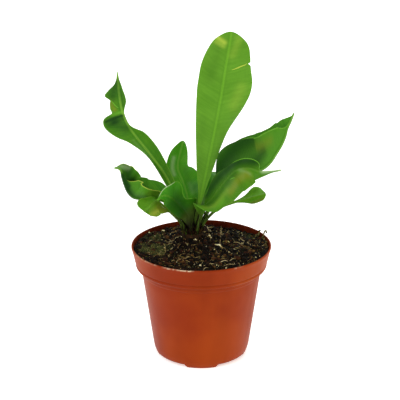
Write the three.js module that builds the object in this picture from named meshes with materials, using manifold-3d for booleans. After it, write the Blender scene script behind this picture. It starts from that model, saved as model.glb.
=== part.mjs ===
// Bird's-nest fern in a thin plastic nursery pot. Millimetres, +Z up, the pot stands on z = 0 with
// its axis on the Z axis, and the front of the plant faces -Y.
import * as THREE from "three";
import { mergeVertices } from "three/addons/utils/BufferGeometryUtils.js";
import Module from "manifold-3d";

// ---------------------------------------------------------------- driving dimensions
const FIT_GAP = 0.3; // between pieces that touch on the real plant

const POT_HEIGHT = 99.3;
const RIM_RADIUS = 60; // a 12 cm nursery pot
const COLLAR_BOTTOM_Z = 80.1;
const COLLAR_LOW_RADIUS = 55.85;
const NECK_RADIUS = 51.8; // wall just under the collar
const RING = 0.7; // raised ring round the top of the wall
const RING_HEIGHT = 1.6;
const BASE_RADIUS = 40.5;
const BASE_ROUND = 2.4; // rounding of the wall into the foot
const WALL = 1.2;
const FOOT_HEIGHT = 3.6;
const FOOT_WIDTH = 3.2;
const NOTCH_COUNT = 4; // wide ones, with a foot between each two
const NOTCH_START = 45; // degrees from the front, towards +X
const NOTCH_WIDTH = 35; // straight across
const NOTCH_HEIGHT = 3.2;
const FOOT_CUT = 16; // how deep a notch cuts in from outside
const DRAIN_COUNT = 8;
const DRAIN_RADIUS = 4;
const DRAIN_CIRCLE = 26;
const DRAIN_SIDES = 12;
const POT_SIDES = 64;
const SHELF_DROP = 0.7; // slope of the shelf that joins wall and collar
const BEAD_Z = 2.6; // raised line on the collar, above its lower edge
const BEAD = 0.25;
const ROLL = 0.5; // rounding of the pot's edges

const SOIL_Z = 94.7; // level of the mix at the wall
const SOIL_RISE = 6; // how far it heaps up round the crown
const SOIL_HEAP = 20; // radius of that heap
const CRUMB = 2.2; // height of the crumbs
const SOIL_SIDES = 48;
const SOIL_RINGS = 13;
const MOSS_AT = [-39.45, -2];
const MOSS_RADIUS = 13;
const MOSS_RISE = 1.2;

const CROWN_AT = [-7.85, 20];
const CROWN_RADIUS = 9.2;
const CROWN_TOP_Z = 106.2;
const CROWN_FOOT_Z = 84.7;
const CROWN_SIDES = 30;
const CROWN_GAP = 0.4; // round it in its hole in the mix
const SCALE_SWELL = 0.035; // share by which old scales swell it
const SCALE_COUNT = 11;

const BLADE = 0.7; // thickness of a blade
const RIDGE_WIDTH = 1.6; // half width of the midrib
const RIDGE_RISE = 0.3; // midrib above the upper face
const KEEL_BASE = 1.7; // midrib below the lower face, at the foot
const KEEL_TIP = 0.5;
const STALK = 1.25; // half width of a stalk
const HOLE_GAP = 0.55; // round a stalk in its hole in the crown
const FOOT_Z = 98.7; // where the stalks begin, inside the crown
const HOLE_TOP = 0.16; // share of a frond's length that its hole follows
const TIP_REACH = 0.45; // half width left at the very tip
const RIPPLE_REACH = 6; // narrower halves than this ripple much less
const ROWS_ADDED = 9; // to its stations, along the even part of a frond
const TIP_ROWS = 5; // crowded into its last part
const TIP_SHARE = 0.12;

const TERRACOTTA = { color: "#a8451f", roughness: 0.42 };
const PEAT = { color: "#2b1b12", roughness: 0.95 };
const SCALE_BROWN = { color: "#2a1c10", roughness: 0.9 };
const YOUNG_LEAF = { color: "#63a02c", roughness: 0.42 };
const GROWN_LEAF = { color: "#347a1f", roughness: 0.38 };
const DARK_LEAF = { color: "#236319", roughness: 0.38 };

// ---------------------------------------------------------------- fronds
// A frond is a waved strap. Each row of `path` is a station on its midrib:
//   x, y, z, left reach, left tilt, right reach, right tilt, cup, sweep
// Reach is how far that half of the blade goes from the midrib, tilt the degrees that it folds up
// from flat, cup the half angle of its arc, which is hollow above where it is positive, and sweep
// the degrees that the side veins lean towards the tip.
// `heading` is the bearing that the frond leans towards, so that left and right are told apart.
// `blunt` is the share of the length that rounds off the tip, and `wave` gives the height,
// the count and the phase of the ripples in the margins.
const FRONDS = [
  {
    name: "frond_upright",
    finish: YOUNG_LEAF,
    heading: 90,
    blunt: 0.08,
    wave: [0.5, 3, 0.6],
    path: [
      [-7.85, 20, FOOT_Z, STALK, 0, STALK, 0, 0, 0],
      [-5.45, 22, 111.3, STALK, 10, STALK, 10, 5, 0],
      [-1.05, 24, 131, 1.9, 24, 2, 24, 8, 0],
      [4.95, 27, 159.3, 9.6, 14, 5.4, 18, 10, 0],
      [11.55, 30, 192.5, 16.9, 12, 11, 14, 10, 0],
      [16.75, 33, 220.9, 21.1, 7, 22.2, 6, 8, 0],
      [18.95, 34.6, 235.1, 21.6, 6, 24.6, 6, 7, 0],
      [20.95, 36, 248.2, 20.7, 6, 21.5, 6, 6, 0],
      [23.75, 38, 264, 15.8, 6, 17.3, 6, 4, 0],
      [25.55, 40, 275.9, 8.6, 6, 10.1, 6, 0, 0],
    ],
  },
  {
    name: "frond_left_tall",
    finish: GROWN_LEAF,
    heading: 90,
    blunt: 0.01,
    wave: [0.2, 4, 0],
    path: [
      [-13.05, 20.9, FOOT_Z, STALK, 0, STALK, 0, 0, 0],
      [-15.05, 22.5, 111.7, STALK, 10, STALK, 0, 5, 0],
      [-21.45, 25.8, 130.7, 2.8, 30, 4.6, -20, 10, 0],
      [-30.45, 25.3, 151.9, 3.9, 26, 5.5, -30, 12, 0],
      [-43.75, 18.8, 174.4, 3.2, 26, 8.6, -24, 14, 0],
      [-55.25, 12.6, 192.1, 8, 30, 7.9, -10, 14, 0],
      [-61.05, 8, 202.7, 14.9, 26, 1.6, 0, 14, 0],
      [-63.85, 5.5, 209.9, 18.6, 16, 1, 0, 16, 0],
      [-65.25, 4, 214.6, 16.6, 10, 1.2, 0, 14, 0],
      [-65.75, 3.5, 216.9, 9.2, 8, 1.8, 0, 10, 0],
      [-66.45, 3, 220.5, 9.4, 6, 3.3, 4, 4, 0],
      [-66.95, 2.4, 224.6, 9, 2, 4.8, 8, 0, 0],
      [-67.25, 2, 227.3, 8.6, 0, 5, 12, 0, 0],
      [-67.65, 1.6, 231.3, 12.4, -4, 4.6, 12, -6, 0],
      [-68.05, 1, 235.7, 8.6, -6, 3.6, 12, -6, 0],
      [-68.35, 0.5, 240.1, 3.8, -4, 2.6, 10, 0, 0],
      [-68.65, 0, 244.9, 1.4, 0, 1.2, 6, 0, 0],
      [-68.85, 0, 250.9, 0.4, 0, 0.4, 0, 0, 0],
    ],
  },
  {
    name: "frond_back_left",
    finish: GROWN_LEAF,
    heading: 100,
    blunt: 0.12,
    wave: [0.9, 4, 1.2],
    path: [
      [-11.35, 24.3, FOOT_Z, STALK, 0, STALK, 0, 0, 0],
      [-11.65, 27, 110.7, STALK, 10, STALK, 10, 5, 0],
      [-12.25, 31, 131.6, 5, 24, 8.7, 18, 10, 0],
      [-16.45, 36, 144.7, 10, 18, 13.6, 15, 12, 0],
      [-20.65, 40, 155.3, 11.4, 20, 10.1, 12, 12, 0],
      [-19.05, 44, 165, 9.6, 20, 7.5, 12, 10, 0],
      [-15.85, 48, 177.5, 4.6, 14, 4.6, 10, 5, 0],
    ],
  },
  {
    name: "frond_right_tall",
    finish: GROWN_LEAF,
    heading: 0,
    blunt: 0.02,
    wave: [0.5, 4, 2.2],
    path: [
      [-2.45, 21, FOOT_Z, STALK, 0, STALK, 0, 0, 0],
      [1.15, 22.6, 110.7, STALK, 10, STALK, 10, 5, 0],
      [9.95, 25, 128.1, 4, 50, 4, 70, 8, 0],
      [20.55, 27.4, 139.7, 10, 60, 13.2, 76, 10, 0],
      [30.95, 29, 147.7, 22.8, 58, 31, 80, 12, 0],
      [42.55, 30, 153.7, 31.5, 58, 33.2, 82, 12, 0],
      [53.45, 29.5, 157.9, 31.5, 60, 30.6, 82, 12, 14],
      [59.15, 29, 163.1, 28.3, 60, 27, 82, 12, 30],
      [64.55, 29, 171.7, 23.1, 58, 22, 82, 12, 34],
      [69.15, 29.5, 179.7, 18.9, 56, 16.4, 80, 10, 34],
      [72.15, 30, 187.3, 14.8, 54, 10.4, 74, 8, 30],
      [73.55, 31, 192.9, 10.7, 52, 3, 60, 6, 22],
      [76.45, 32, 199.5, 5.6, 48, 1.2, 40, 4, 10],
      [79.15, 33, 206.7, 0.4, 0, 0.4, 0, 0, 0],
    ],
  },
  {
    name: "frond_right_front",
    finish: DARK_LEAF,
    heading: 320,
    blunt: 0.02,
    wave: [0.6, 4, 0.4],
    path: [
      [-5.15, 15.2, FOOT_Z, STALK, 0, STALK, 0, 0, 0],
      [-3.45, 13, 109.7, STALK, 20, STALK, -10, 5, 0],
      [0.05, 11.5, 121.7, 2.4, 60, 2, 30, 4, 0],
      [2.95, 7.4, 129.3, 5, 66, 10.6, 56, 8, 0],
      [5.95, 3.6, 135.3, 7, 70, 12, 8, 8, 0],
      [8.15, 1.6, 138.9, 8.4, 72, 15, -34, 10, 0],
      [10.55, 0, 142.7, 10, 74, 19, -50, 10, 0],
      [16.35, -4, 152.9, 12, 74, 21.2, -58, 12, 0],
      [22.15, -8, 161.9, 10, 68, 23.2, -64, 14, 0],
      [27.75, -10, 168.5, 9, 60, 21.6, -66, 14, 8],
      [34.75, -12, 171.9, 9, 54, 17, -64, 12, 17],
      [42.05, -12, 171.5, 7.6, 46, 11.6, -56, 10, 28],
      [48.35, -12, 168.9, 1.4, 40, 6, -30, 8, 12],
      [57.35, -11, 168.4, 1.3, 40, 4, 0, 6, 0],
      [66.35, -10, 169.7, 0.4, 0, 0.4, 0, 0, 0],
    ],
  },
  {
    name: "frond_front_broad",
    finish: DARK_LEAF,
    heading: 180,
    blunt: 0.02,
    wave: [0.8, 3, 0.9],
    path: [
      [-7.65, 14.2, FOOT_Z, STALK, 0, STALK, 0, 0, 0],
      [-8.85, 11.6, 110.7, 2.6, -30, 2.6, 30, 0, 0],
      [-12.25, 9, 121.7, 5.5, -60, 9, 62, 4, 0],
      [-15.05, 6, 127.5, 7.6, -64, 15.6, 66, 6, 0],
      [-18.65, 2.6, 133.7, 8.8, -66, 8.2, 68, 6, 0],
      [-21.45, -0.2, 137.9, 9.2, -66, 9.4, 68, 7, 4],
      [-24.65, -3.2, 142.1, 9.2, -66, 15.4, 68, 8, 20],
      [-29.75, -7, 146.1, 6.4, -62, 7, 68, 8, 12],
      [-33.85, -10, 146.1, 3.4, -50, 1.6, 60, 6, 4],
      [-37.15, -12, 143.5, 0.6, -30, 0.6, 40, 4, 0],
    ],
  },
  {
    name: "frond_left_trough",
    finish: GROWN_LEAF,
    heading: 190,
    blunt: 0.02,
    wave: [0.5, 3, 0.2],
    path: [
      [-13.45, 18.1, FOOT_Z, STALK, 0, STALK, 0, 0, 0],
      [-17.85, 17, 114.3, 2, 20, 2, 20, 5, 0],
      [-25.45, 16.8, 128.3, 5, 44, 6, 46, 10, 0],
      [-36.05, 15, 134.9, 10.4, 54, 15.2, 56, 12, 0],
      [-44.95, 12.5, 135.7, 15, 50, 18.8, 54, 14, 0],
      [-51.85, 11, 136.9, 17, 52, 18.6, 66, 15, 0],
      [-58.25, 9.4, 138.9, 18, 68, 18, 72, 15, 9],
      [-62.65, 8, 144.5, 13.5, 84, 18.5, 68, 14, 20],
      [-64.85, 6.5, 150.7, 5, 84, 15.9, 66, 12, 28],
      [-66.85, 5, 158.5, 2, 50, 12.5, 60, 10, 22],
      [-68.05, 3.5, 165.1, 1, 20, 7, 46, 6, 10],
      [-70.75, 3, 167.1, 0.8, 10, 2.6, 30, 4, 0],
      [-73.45, 3, 167.3, 0.4, 0, 0.4, 0, 0, 0],
    ],
  },
  {
    name: "frond_left_low",
    finish: DARK_LEAF,
    heading: 215,
    blunt: 0.1,
    wave: [0.4, 3, 0],
    path: [
      [-10.85, 16, FOOT_Z, STALK, 0, STALK, 0, 0, 0],
      [-16.85, 12, 114.3, 1.8, 10, 1.8, 10, 5, 0],
      [-26.35, 9, 125.9, 1.8, -50, 1.8, -20, 8, 0],
      [-32.45, 5, 133.1, 8.6, -58, 2.4, -24, 8, 0],
      [-37.25, 1, 138.3, 11.6, -66, 6, 20, 8, 0],
      [-42.45, -5, 136.9, 11.6, -74, 10.5, 28, 8, 0],
      [-46.25, -9.4, 134.9, 7.4, -76, 10, 32, 8, 0],
      [-47.95, -12, 133.7, 3.2, -70, 5, 34, 4, 0],
    ],
  },
  {
    name: "frond_spoon",
    finish: GROWN_LEAF,
    heading: 0,
    blunt: 0.16,
    wave: [0.2, 2, 0],
    path: [
      [-2.85, 17.7, FOOT_Z, STALK, 0, STALK, 0, 0, 0],
      [2.15, 18.5, 112.7, STALK, 5, STALK, 0, 0, 0],
      [14.35, 20, 124.7, 1.2, 5, 1.2, -5, 5, 0],
      [27.65, 18, 131.1, 1.3, 10, 1.5, -20, 8, 0],
      [36.85, 17, 133.9, 4.6, 18, 4, -26, 12, 0],
      [45.35, 16, 136.7, 11.8, 24, 9.4, -18, 16, 0],
      [51.75, 15, 138.7, 10.4, 16, 8.3, -16, 12, 0],
      [55.55, 15, 139.7, 7, 12, 5.6, -16, 6, 0],
    ],
  },
  {
    name: "frond_back",
    finish: GROWN_LEAF,
    heading: 96,
    blunt: 0.14,
    wave: [0.6, 3, 0.5],
    path: [
      [-8.35, 25.6, FOOT_Z, STALK, 0, STALK, 0, 0, 0],
      [-8.65, 29, 109.7, STALK, 10, STALK, 10, 5, 0],
      [-9.45, 36, 122.7, 3.4, 30, 3.4, 30, 8, 0],
      [-10.65, 44, 132.2, 7.6, 32, 7.6, 32, 10, 0],
      [-12.05, 51, 136.2, 9.4, 28, 9.4, 28, 12, 0],
      [-13.45, 56.4, 134.3, 8.8, 22, 8.8, 22, 10, 0],
      [-14.45, 59.6, 130.3, 6.4, 14, 6.4, 14, 6, 0],
    ],
  },
  {
    name: "frond_back_right",
    finish: GROWN_LEAF,
    heading: 60,
    blunt: 0.14,
    wave: [0.6, 3, 1.4],
    path: [
      [-5.05, 24.8, FOOT_Z, STALK, 0, STALK, 0, 0, 0],
      [-3.25, 28, 110.7, STALK, 10, STALK, 10, 5, 0],
      [1.15, 34, 125.7, 3.4, 30, 3.4, 30, 8, 0],
      [7.15, 41, 136.2, 8, 30, 8, 30, 10, 0],
      [13.95, 47.6, 141.2, 10, 26, 10, 26, 12, 0],
      [20.95, 53, 141.3, 9.4, 20, 9.4, 20, 10, 0],
      [25.95, 56, 138.1, 6.6, 12, 6.6, 12, 6, 0],
    ],
  },
];

// A value between the entries of a list, on a smooth curve through them.
function between(values, u) {
  const last = values.length - 1;
  const i = Math.min(Math.floor(u), last - 1);
  const f = u - i;
  const [a, b, c, d] = [i - 1, i, i + 1, i + 2].map((k) => values[Math.min(Math.max(k, 0), last)]);
  const bend = (2 * a - 5 * b + 4 * c - d) * f * f + (3 * b - a - 3 * c + d) * f * f * f;
  return 0.5 * (2 * b + (c - a) * f + bend);
}

// Shares of the length at which a frond's rows stand, crowded towards the tip.
function rowShares(frond) {
  const shares = [];
  const rows = frond.path.length + ROWS_ADDED;
  for (let i = 0; i < rows; i++) shares.push((i / rows) * (1 - TIP_SHARE));
  for (let i = 0; i <= TIP_ROWS; i++) {
    shares.push(1 - TIP_SHARE + TIP_SHARE * Math.sin((i / TIP_ROWS) * (Math.PI / 2)));
  }
  return shares;
}

// The midrib's place, direction, left side and upper side at a share of the length.
function frameAt(curve, heading, share) {
  const at = curve.getPoint(share);
  const along = curve.getTangent(share);
  const angle = THREE.MathUtils.degToRad(heading);
  const left = new THREE.Vector3(-Math.sin(angle), Math.cos(angle), 0);
  left.addScaledVector(along, -left.dot(along)).normalize();
  const up = new THREE.Vector3().crossVectors(along, left);
  return { at, along, left, up };
}

// One half of the blade at a station: its reach, its direction and its own upward normal.
function halfBlade(frond, frame, u, share, side) {
  const column = side > 0 ? 3 : 5;
  const reachList = frond.path.map((row) => row[column]);
  const tilt = THREE.MathUtils.degToRad(between(frond.path.map((row) => row[column + 1]), u));
  const sweep = THREE.MathUtils.degToRad(between(frond.path.map((row) => row[8]), u));
  let reach = Math.max(between(reachList, u), Math.min(...reachList));
  const rest = (share - 1 + frond.blunt) / frond.blunt;
  if (rest > 0) reach *= Math.sqrt(Math.max(1 - rest * rest, 0));
  reach = Math.max(reach, TIP_REACH);
  const out = frame.left.clone().multiplyScalar(side * Math.cos(tilt));
  out.addScaledVector(frame.up, Math.sin(tilt));
  out.multiplyScalar(Math.cos(sweep)).addScaledVector(frame.along, Math.sin(sweep));
  const normal = frame.up.clone().multiplyScalar(Math.cos(tilt));
  normal.addScaledVector(frame.left, -side * Math.sin(tilt));
  return { reach, out, normal };
}

// The points of a frond's upper and lower face across one station.
function sectionAt(frond, curve, share, grow) {
  const u = share * (frond.path.length - 1);
  const frame = frameAt(curve, frond.heading, share);
  const cup = THREE.MathUtils.degToRad(between(frond.path.map((row) => row[7]), u));
  const keel = THREE.MathUtils.lerp(KEEL_BASE, KEEL_TIP, share) + grow;
  const [height, count, phase] = frond.wave;
  const upper = [];
  const lower = [];
  const put = (side, part, half) => {
    const arc = Math.abs(cup) < 1e-3 ? 0 : cup * (2 * part - 1);
    const along = arc ? (Math.sin(arc) + Math.sin(cup)) / (2 * Math.sin(cup)) : part;
    const sag = arc ? (Math.cos(cup) - Math.cos(arc)) / (2 * Math.sin(cup)) : 0;
    const wide = half.reach / (half.reach + RIPPLE_REACH);
    const ripple = height * wide * part * part * Math.sin(2 * Math.PI * count * share + phase + side);
    const reach = half.reach + grow;
    const normal = part ? half.normal : frame.up;
    const point = frame.at.clone().addScaledVector(half.out, along * reach);
    point.addScaledVector(normal, sag * half.reach + ripple);
    const near = Math.max(1 - ((part * reach) / RIDGE_WIDTH) ** 2, 0);
    upper.push(point.clone().addScaledVector(normal, BLADE / 2 + grow + RIDGE_RISE * near));
    lower.push(point.clone().addScaledVector(normal, -BLADE / 2 - grow - keel * near));
  };
  for (const side of [1, -1]) {
    const half = halfBlade(frond, frame, u, share, side);
    const ridge = THREE.MathUtils.clamp(RIDGE_WIDTH / half.reach, 0.08, 0.4);
    const parts = side > 0 ? [1, (1 + ridge) / 2, ridge, 0] : [ridge, (1 + ridge) / 2, 1];
    parts.forEach((part) => put(side, part, half));
  }
  return [...upper, ...lower.reverse()];
}

// A closed skin through rings of the same number of points, upper face first, with flat ends.
// Both faces of a blade are split into triangles along the same diagonals.
function skinGeometry(rings) {
  const size = rings[0].length;
  const half = size / 2;
  const index = [];
  for (let r = 0; r + 1 < rings.length; r++) {
    for (let i = 0; i < size; i++) {
      const j = (i + 1) % size;
      const [a, b] = [r * size + i, r * size + j];
      if (i < half) index.push(a, b, b + size, a, b + size, a + size);
      else index.push(a, b, a + size, b, b + size, a + size);
    }
  }
  const end = (rings.length - 1) * size;
  for (let i = 0; i + 1 < half; i++) {
    const k = size - 1 - i;
    index.push(i, k - 1, i + 1, i, k, k - 1);
    index.push(end + i, end + i + 1, end + k - 1, end + i, end + k - 1, end + k);
  }
  const geometry = new THREE.BufferGeometry().setFromPoints(rings.flat());
  geometry.setIndex(index);
  return geometry;
}

// A frond, or for a hole in the crown its foot up to a share of its length, grown all round.
function frondSolid(frond, grow = 0, until = 1) {
  const points = frond.path.map(([x, y, z]) => new THREE.Vector3(x, y, z));
  const foot = points[1].clone().sub(points[0]).normalize();
  points[0].addScaledVector(foot, -grow);
  const curve = new THREE.CatmullRomCurve3(points);
  const shares = rowShares(frond).filter((share) => share <= until);
  return solidOf(skinGeometry(shares.map((share) => sectionAt(frond, curve, share, grow))));
}

// ---------------------------------------------------------------- solids
const wasm = await Module();
wasm.setup();

// A closed geometry as a solid that can be cut and joined.
function solidOf(geometry) {
  const bare = geometry.clone();
  bare.deleteAttribute("normal");
  bare.deleteAttribute("uv");
  const merged = mergeVertices(bare, 1e-3);
  return new wasm.Manifold(
    new wasm.Mesh({
      numProp: 3,
      vertProperties: merged.getAttribute("position").array,
      triVerts: new Uint32Array(merged.index.array),
    }),
  );
}

// A profile of [radius, z] points, from the axis back to the axis, turned round a vertical axis.
// `shape` may then move each point.
function turnedSolid(profile, sides, centre = [0, 0], shape = null) {
  const geometry = new THREE.LatheGeometry(profile.map(([radius, z]) => new THREE.Vector2(radius, z)), sides);
  geometry.rotateX(Math.PI / 2);
  geometry.translate(centre[0], centre[1], 0);
  const position = geometry.getAttribute("position");
  for (let i = 0; shape && i < position.count; i++) {
    const point = new THREE.Vector3().fromBufferAttribute(position, i);
    position.setXYZ(i, ...shape(point).toArray());
  }
  return solidOf(geometry);
}

// ---------------------------------------------------------------- pot
const wallRadius = (z) => THREE.MathUtils.mapLinear(z, 0, COLLAR_BOTTOM_Z, BASE_RADIUS, NECK_RADIUS);
const collarRadius = (z) =>
  THREE.MathUtils.mapLinear(z, COLLAR_BOTTOM_Z, POT_HEIGHT, COLLAR_LOW_RADIUS, RIM_RADIUS);

// The wall is one thickness all over: foot ring, tapered wall, shelf, collar and rounded rim.
function potSolid() {
  const floorZ = FOOT_HEIGHT + WALL;
  const shelfZ = COLLAR_BOTTOM_Z + WALL;
  const ringZ = COLLAR_BOTTOM_Z - RING_HEIGHT;
  const beadZ = COLLAR_BOTTOM_Z + BEAD_Z;
  const footInner = BASE_RADIUS - FOOT_WIDTH - 2 * ROLL;
  const foot = [
    [0, FOOT_HEIGHT],
    [footInner - ROLL, FOOT_HEIGHT],
    [footInner, 0],
    [BASE_RADIUS - BASE_ROUND, 0],
    [BASE_RADIUS - BASE_ROUND / 2, BASE_ROUND / 2],
    [wallRadius(2 * BASE_ROUND) - ROLL, 2 * BASE_ROUND],
    [wallRadius(4 * BASE_ROUND), 4 * BASE_ROUND],
  ];
  const collar = [
    [wallRadius(ringZ - 2 * ROLL), ringZ - 2 * ROLL],
    [NECK_RADIUS + RING, ringZ],
    [NECK_RADIUS + RING, COLLAR_BOTTOM_Z],
    [COLLAR_LOW_RADIUS - 3 * ROLL, COLLAR_BOTTOM_Z],
    [COLLAR_LOW_RADIUS, COLLAR_BOTTOM_Z + 2 * ROLL],
    [collarRadius(beadZ), beadZ],
    [collarRadius(beadZ + 2 * ROLL) + BEAD, beadZ + 2 * ROLL],
  ];
  const rim = [
    [RIM_RADIUS - ROLL / 5, POT_HEIGHT - 3 * ROLL],
    [RIM_RADIUS, POT_HEIGHT - ROLL],
    [RIM_RADIUS - ROLL, POT_HEIGHT],
    [RIM_RADIUS - WALL, POT_HEIGHT],
    [RIM_RADIUS - WALL - ROLL / 2, POT_HEIGHT - ROLL],
  ];
  const inside = [
    [collarRadius(shelfZ + WALL) - WALL, shelfZ + WALL],
    [COLLAR_LOW_RADIUS - WALL - 4 * ROLL, shelfZ],
    [NECK_RADIUS - WALL, shelfZ - SHELF_DROP],
    [wallRadius(floorZ + FOOT_WIDTH) - WALL, floorZ + FOOT_WIDTH],
    [wallRadius(floorZ) - WALL - 3 * ROLL, floorZ],
    [0, floorZ],
  ];
  return cutPotFoot(turnedSolid([...foot, ...collar, ...rim, ...inside], POT_SIDES));
}

// Notches in the foot ring and drain holes in the floor, so that water gets away.
function cutPotFoot(body) {
  const notch = new THREE.BoxGeometry(FOOT_CUT, NOTCH_WIDTH, 2 * NOTCH_HEIGHT);
  notch.translate(BASE_RADIUS - FOOT_CUT / 3, 0, 0);
  const drain = new THREE.CylinderGeometry(DRAIN_RADIUS, DRAIN_RADIUS, 4 * FOOT_HEIGHT, DRAIN_SIDES);
  drain.rotateX(Math.PI / 2);
  drain.translate(DRAIN_CIRCLE, 0, FOOT_HEIGHT);
  const cutAround = (body, cut, count) => {
    const turns = Array.from({ length: count }, (_, i) => NOTCH_START - 90 + (i * 360) / count);
    const turned = turns.map((turn) => solidOf(cut.clone().rotateZ(THREE.MathUtils.degToRad(turn))));
    return turned.reduce((left, solid) => left.subtract(solid), body);
  };
  return cutAround(cutAround(body, notch, NOTCH_COUNT), drain, DRAIN_COUNT);
}

// ---------------------------------------------------------------- soil
// The same number between 0 and 1 for the same place.
function chance(x, y) {
  const mixed = Math.sin(Math.round(x * 8) * 127.1 + Math.round(y * 8) * 311.7) * 43758.5453;
  return mixed - Math.floor(mixed);
}

// 1 at a place, falling away to 0 over a radius.
function mound(point, at, radius) {
  return Math.exp(-(((point.x - at[0]) ** 2 + (point.y - at[1]) ** 2) / radius ** 2));
}

// The level of the mix: heaped round the crown, soft where moss grows, and crumbly.
function soilTop(point) {
  const moss = mound(point, MOSS_AT, MOSS_RADIUS);
  const crumbs = CRUMB * (chance(point.x, point.y) - 0.5) * (1 - 0.7 * moss);
  return SOIL_Z + SOIL_RISE * mound(point, CROWN_AT, SOIL_HEAP) + MOSS_RISE * moss + crumbs;
}

// The mix fills the pot just clear of its inside, with a hole for the crown.
function soilSolid(hole) {
  const reach = collarRadius(SOIL_Z) - WALL - 2 * FIT_GAP;
  const floorZ = FOOT_HEIGHT + WALL + FIT_GAP;
  const shelfZ = COLLAR_BOTTOM_Z + WALL + FIT_GAP;
  const profile = [
    [0, floorZ],
    [wallRadius(floorZ) - WALL - 5 * ROLL, floorZ],
    [wallRadius(floorZ + FOOT_WIDTH) - WALL - FIT_GAP, floorZ + FOOT_WIDTH],
    [NECK_RADIUS - WALL - 2 * FIT_GAP, shelfZ - SHELF_DROP],
    [NECK_RADIUS - WALL - FIT_GAP, shelfZ + FIT_GAP],
    [COLLAR_LOW_RADIUS - WALL - 5 * ROLL, shelfZ + FIT_GAP],
    [collarRadius(shelfZ + WALL) - WALL - 2 * FIT_GAP, shelfZ + WALL],
  ];
  for (let ring = SOIL_RINGS; ring >= 0; ring--) profile.push([(reach * ring) / SOIL_RINGS, SOIL_Z]);
  const shape = (point) => (point.z === SOIL_Z ? point.setZ(soilTop(point)) : point);
  return turnedSolid(profile, SOIL_SIDES, [0, 0], shape).subtract(hole);
}

// ---------------------------------------------------------------- crown
// The short stem that all fronds grow from, or the hole for it in the mix.
function crownSolid(grow = 0) {
  const profile = [
    [0, CROWN_FOOT_Z - grow],
    [CROWN_RADIUS * 0.55 + grow, CROWN_FOOT_Z - grow],
    [CROWN_RADIUS * 0.9 + grow, CROWN_FOOT_Z + CROWN_RADIUS * 0.55],
    [CROWN_RADIUS + grow, CROWN_FOOT_Z + CROWN_RADIUS * 1.2],
    [CROWN_RADIUS + grow, CROWN_TOP_Z - CROWN_RADIUS * 0.65],
    [CROWN_RADIUS * 0.9 + grow, CROWN_TOP_Z - CROWN_RADIUS * 0.3],
    [CROWN_RADIUS * 0.66 + grow, CROWN_TOP_Z - CROWN_RADIUS * 0.1],
    [0, CROWN_TOP_Z + grow],
  ];
  // Old scales leave its outline uneven.
  const shape = (point) => {
    const away = new THREE.Vector2(point.x - CROWN_AT[0], point.y - CROWN_AT[1]);
    if (away.length() < 1) return point;
    away.multiplyScalar(1 + SCALE_SWELL * Math.sin(SCALE_COUNT * away.angle() + point.z));
    return point.setX(CROWN_AT[0] + away.x).setY(CROWN_AT[1] + away.y);
  };
  return turnedSolid(profile, CROWN_SIDES, CROWN_AT, shape);
}

// ---------------------------------------------------------------- the part
const part = new THREE.Group();

function addNode(name, solid, finish) {
  const made = solid.getMesh();
  const geometry = new THREE.BufferGeometry();
  geometry.setAttribute("position", new THREE.BufferAttribute(made.vertProperties, made.numProp));
  geometry.setIndex(new THREE.BufferAttribute(made.triVerts, 1));
  geometry.computeVertexNormals();
  const mesh = new THREE.Mesh(geometry, new THREE.MeshStandardMaterial({ ...finish, metalness: 0 }));
  mesh.name = name;
  part.add(mesh);
}

const stalkHoles = FRONDS.map((frond) => frondSolid(frond, HOLE_GAP, HOLE_TOP));
const crown = stalkHoles.reduce((left, hole) => left.subtract(hole), crownSolid());

addNode("pot", potSolid(), TERRACOTTA);
addNode("soil", soilSolid(crownSolid(CROWN_GAP)), PEAT);
addNode("crown", crown, SCALE_BROWN);
FRONDS.forEach((frond) => addNode(frond.name, frondSolid(frond), frond.finish));

export default part;
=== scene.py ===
"""Dresses a bird's-nest fern in its nursery pot: fine meshes, finishes, light and camera.

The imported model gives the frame. Sizes are in millimetres until a mesh is made, and then in metres.
"""

import itertools
import logging
import math
from dataclasses import dataclass, field
from enum import Enum

import bmesh
import bpy
import numpy as np
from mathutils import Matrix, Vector


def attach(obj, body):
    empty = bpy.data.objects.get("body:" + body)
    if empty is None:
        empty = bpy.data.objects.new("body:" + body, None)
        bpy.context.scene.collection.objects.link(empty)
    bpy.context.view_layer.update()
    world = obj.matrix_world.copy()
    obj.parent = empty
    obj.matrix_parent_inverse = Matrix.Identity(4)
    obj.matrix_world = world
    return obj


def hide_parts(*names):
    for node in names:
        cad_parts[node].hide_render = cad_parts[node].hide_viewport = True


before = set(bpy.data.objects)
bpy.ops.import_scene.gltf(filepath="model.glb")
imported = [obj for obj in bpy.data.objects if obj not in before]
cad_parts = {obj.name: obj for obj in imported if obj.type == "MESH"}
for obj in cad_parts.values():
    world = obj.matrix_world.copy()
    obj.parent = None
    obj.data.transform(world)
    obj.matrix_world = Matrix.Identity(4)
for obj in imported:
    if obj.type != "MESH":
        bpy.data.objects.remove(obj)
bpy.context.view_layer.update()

log = logging.getLogger("fern")

Array = np.ndarray
Socket = bpy.types.NodeSocket
Colour = tuple[float, float, float]
Place = tuple[float, float, float]
Span = tuple[float, float]
Profile = tuple[Span, ...]
Face = tuple[int, ...]

MM = 0.001
BODY = "root"
CROWN_AT = (-7.85, 20.0)
CELL_KEYS = np.array((73856093, 19349663, 83492791))
SEED_KEY = 26544357
MIX_KEY = 1274126177
OFF_AXIS = (0.13, 0.21, 0.97)


# ------------------------------------------------------------------ shapes in general
def colour(code: str) -> Colour:
    """A colour written as six hexadecimal digits, in linear light.

    Args:
        code: the colour as it looks on a screen, such as "a8451f".

    Returns:
        Red, green and blue, each from 0 to 1.
    """
    parts = [int(code[i : i + 2], 16) / 255 for i in (0, 2, 4)]
    return tuple(p / 12.92 if p <= 0.04045 else ((p + 0.055) / 1.055) ** 2.4 for p in parts)


def unit(vectors: Array) -> Array:
    """Vectors scaled to length one."""
    return vectors / np.maximum(np.linalg.norm(vectors, axis=-1, keepdims=True), 1e-9)


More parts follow.
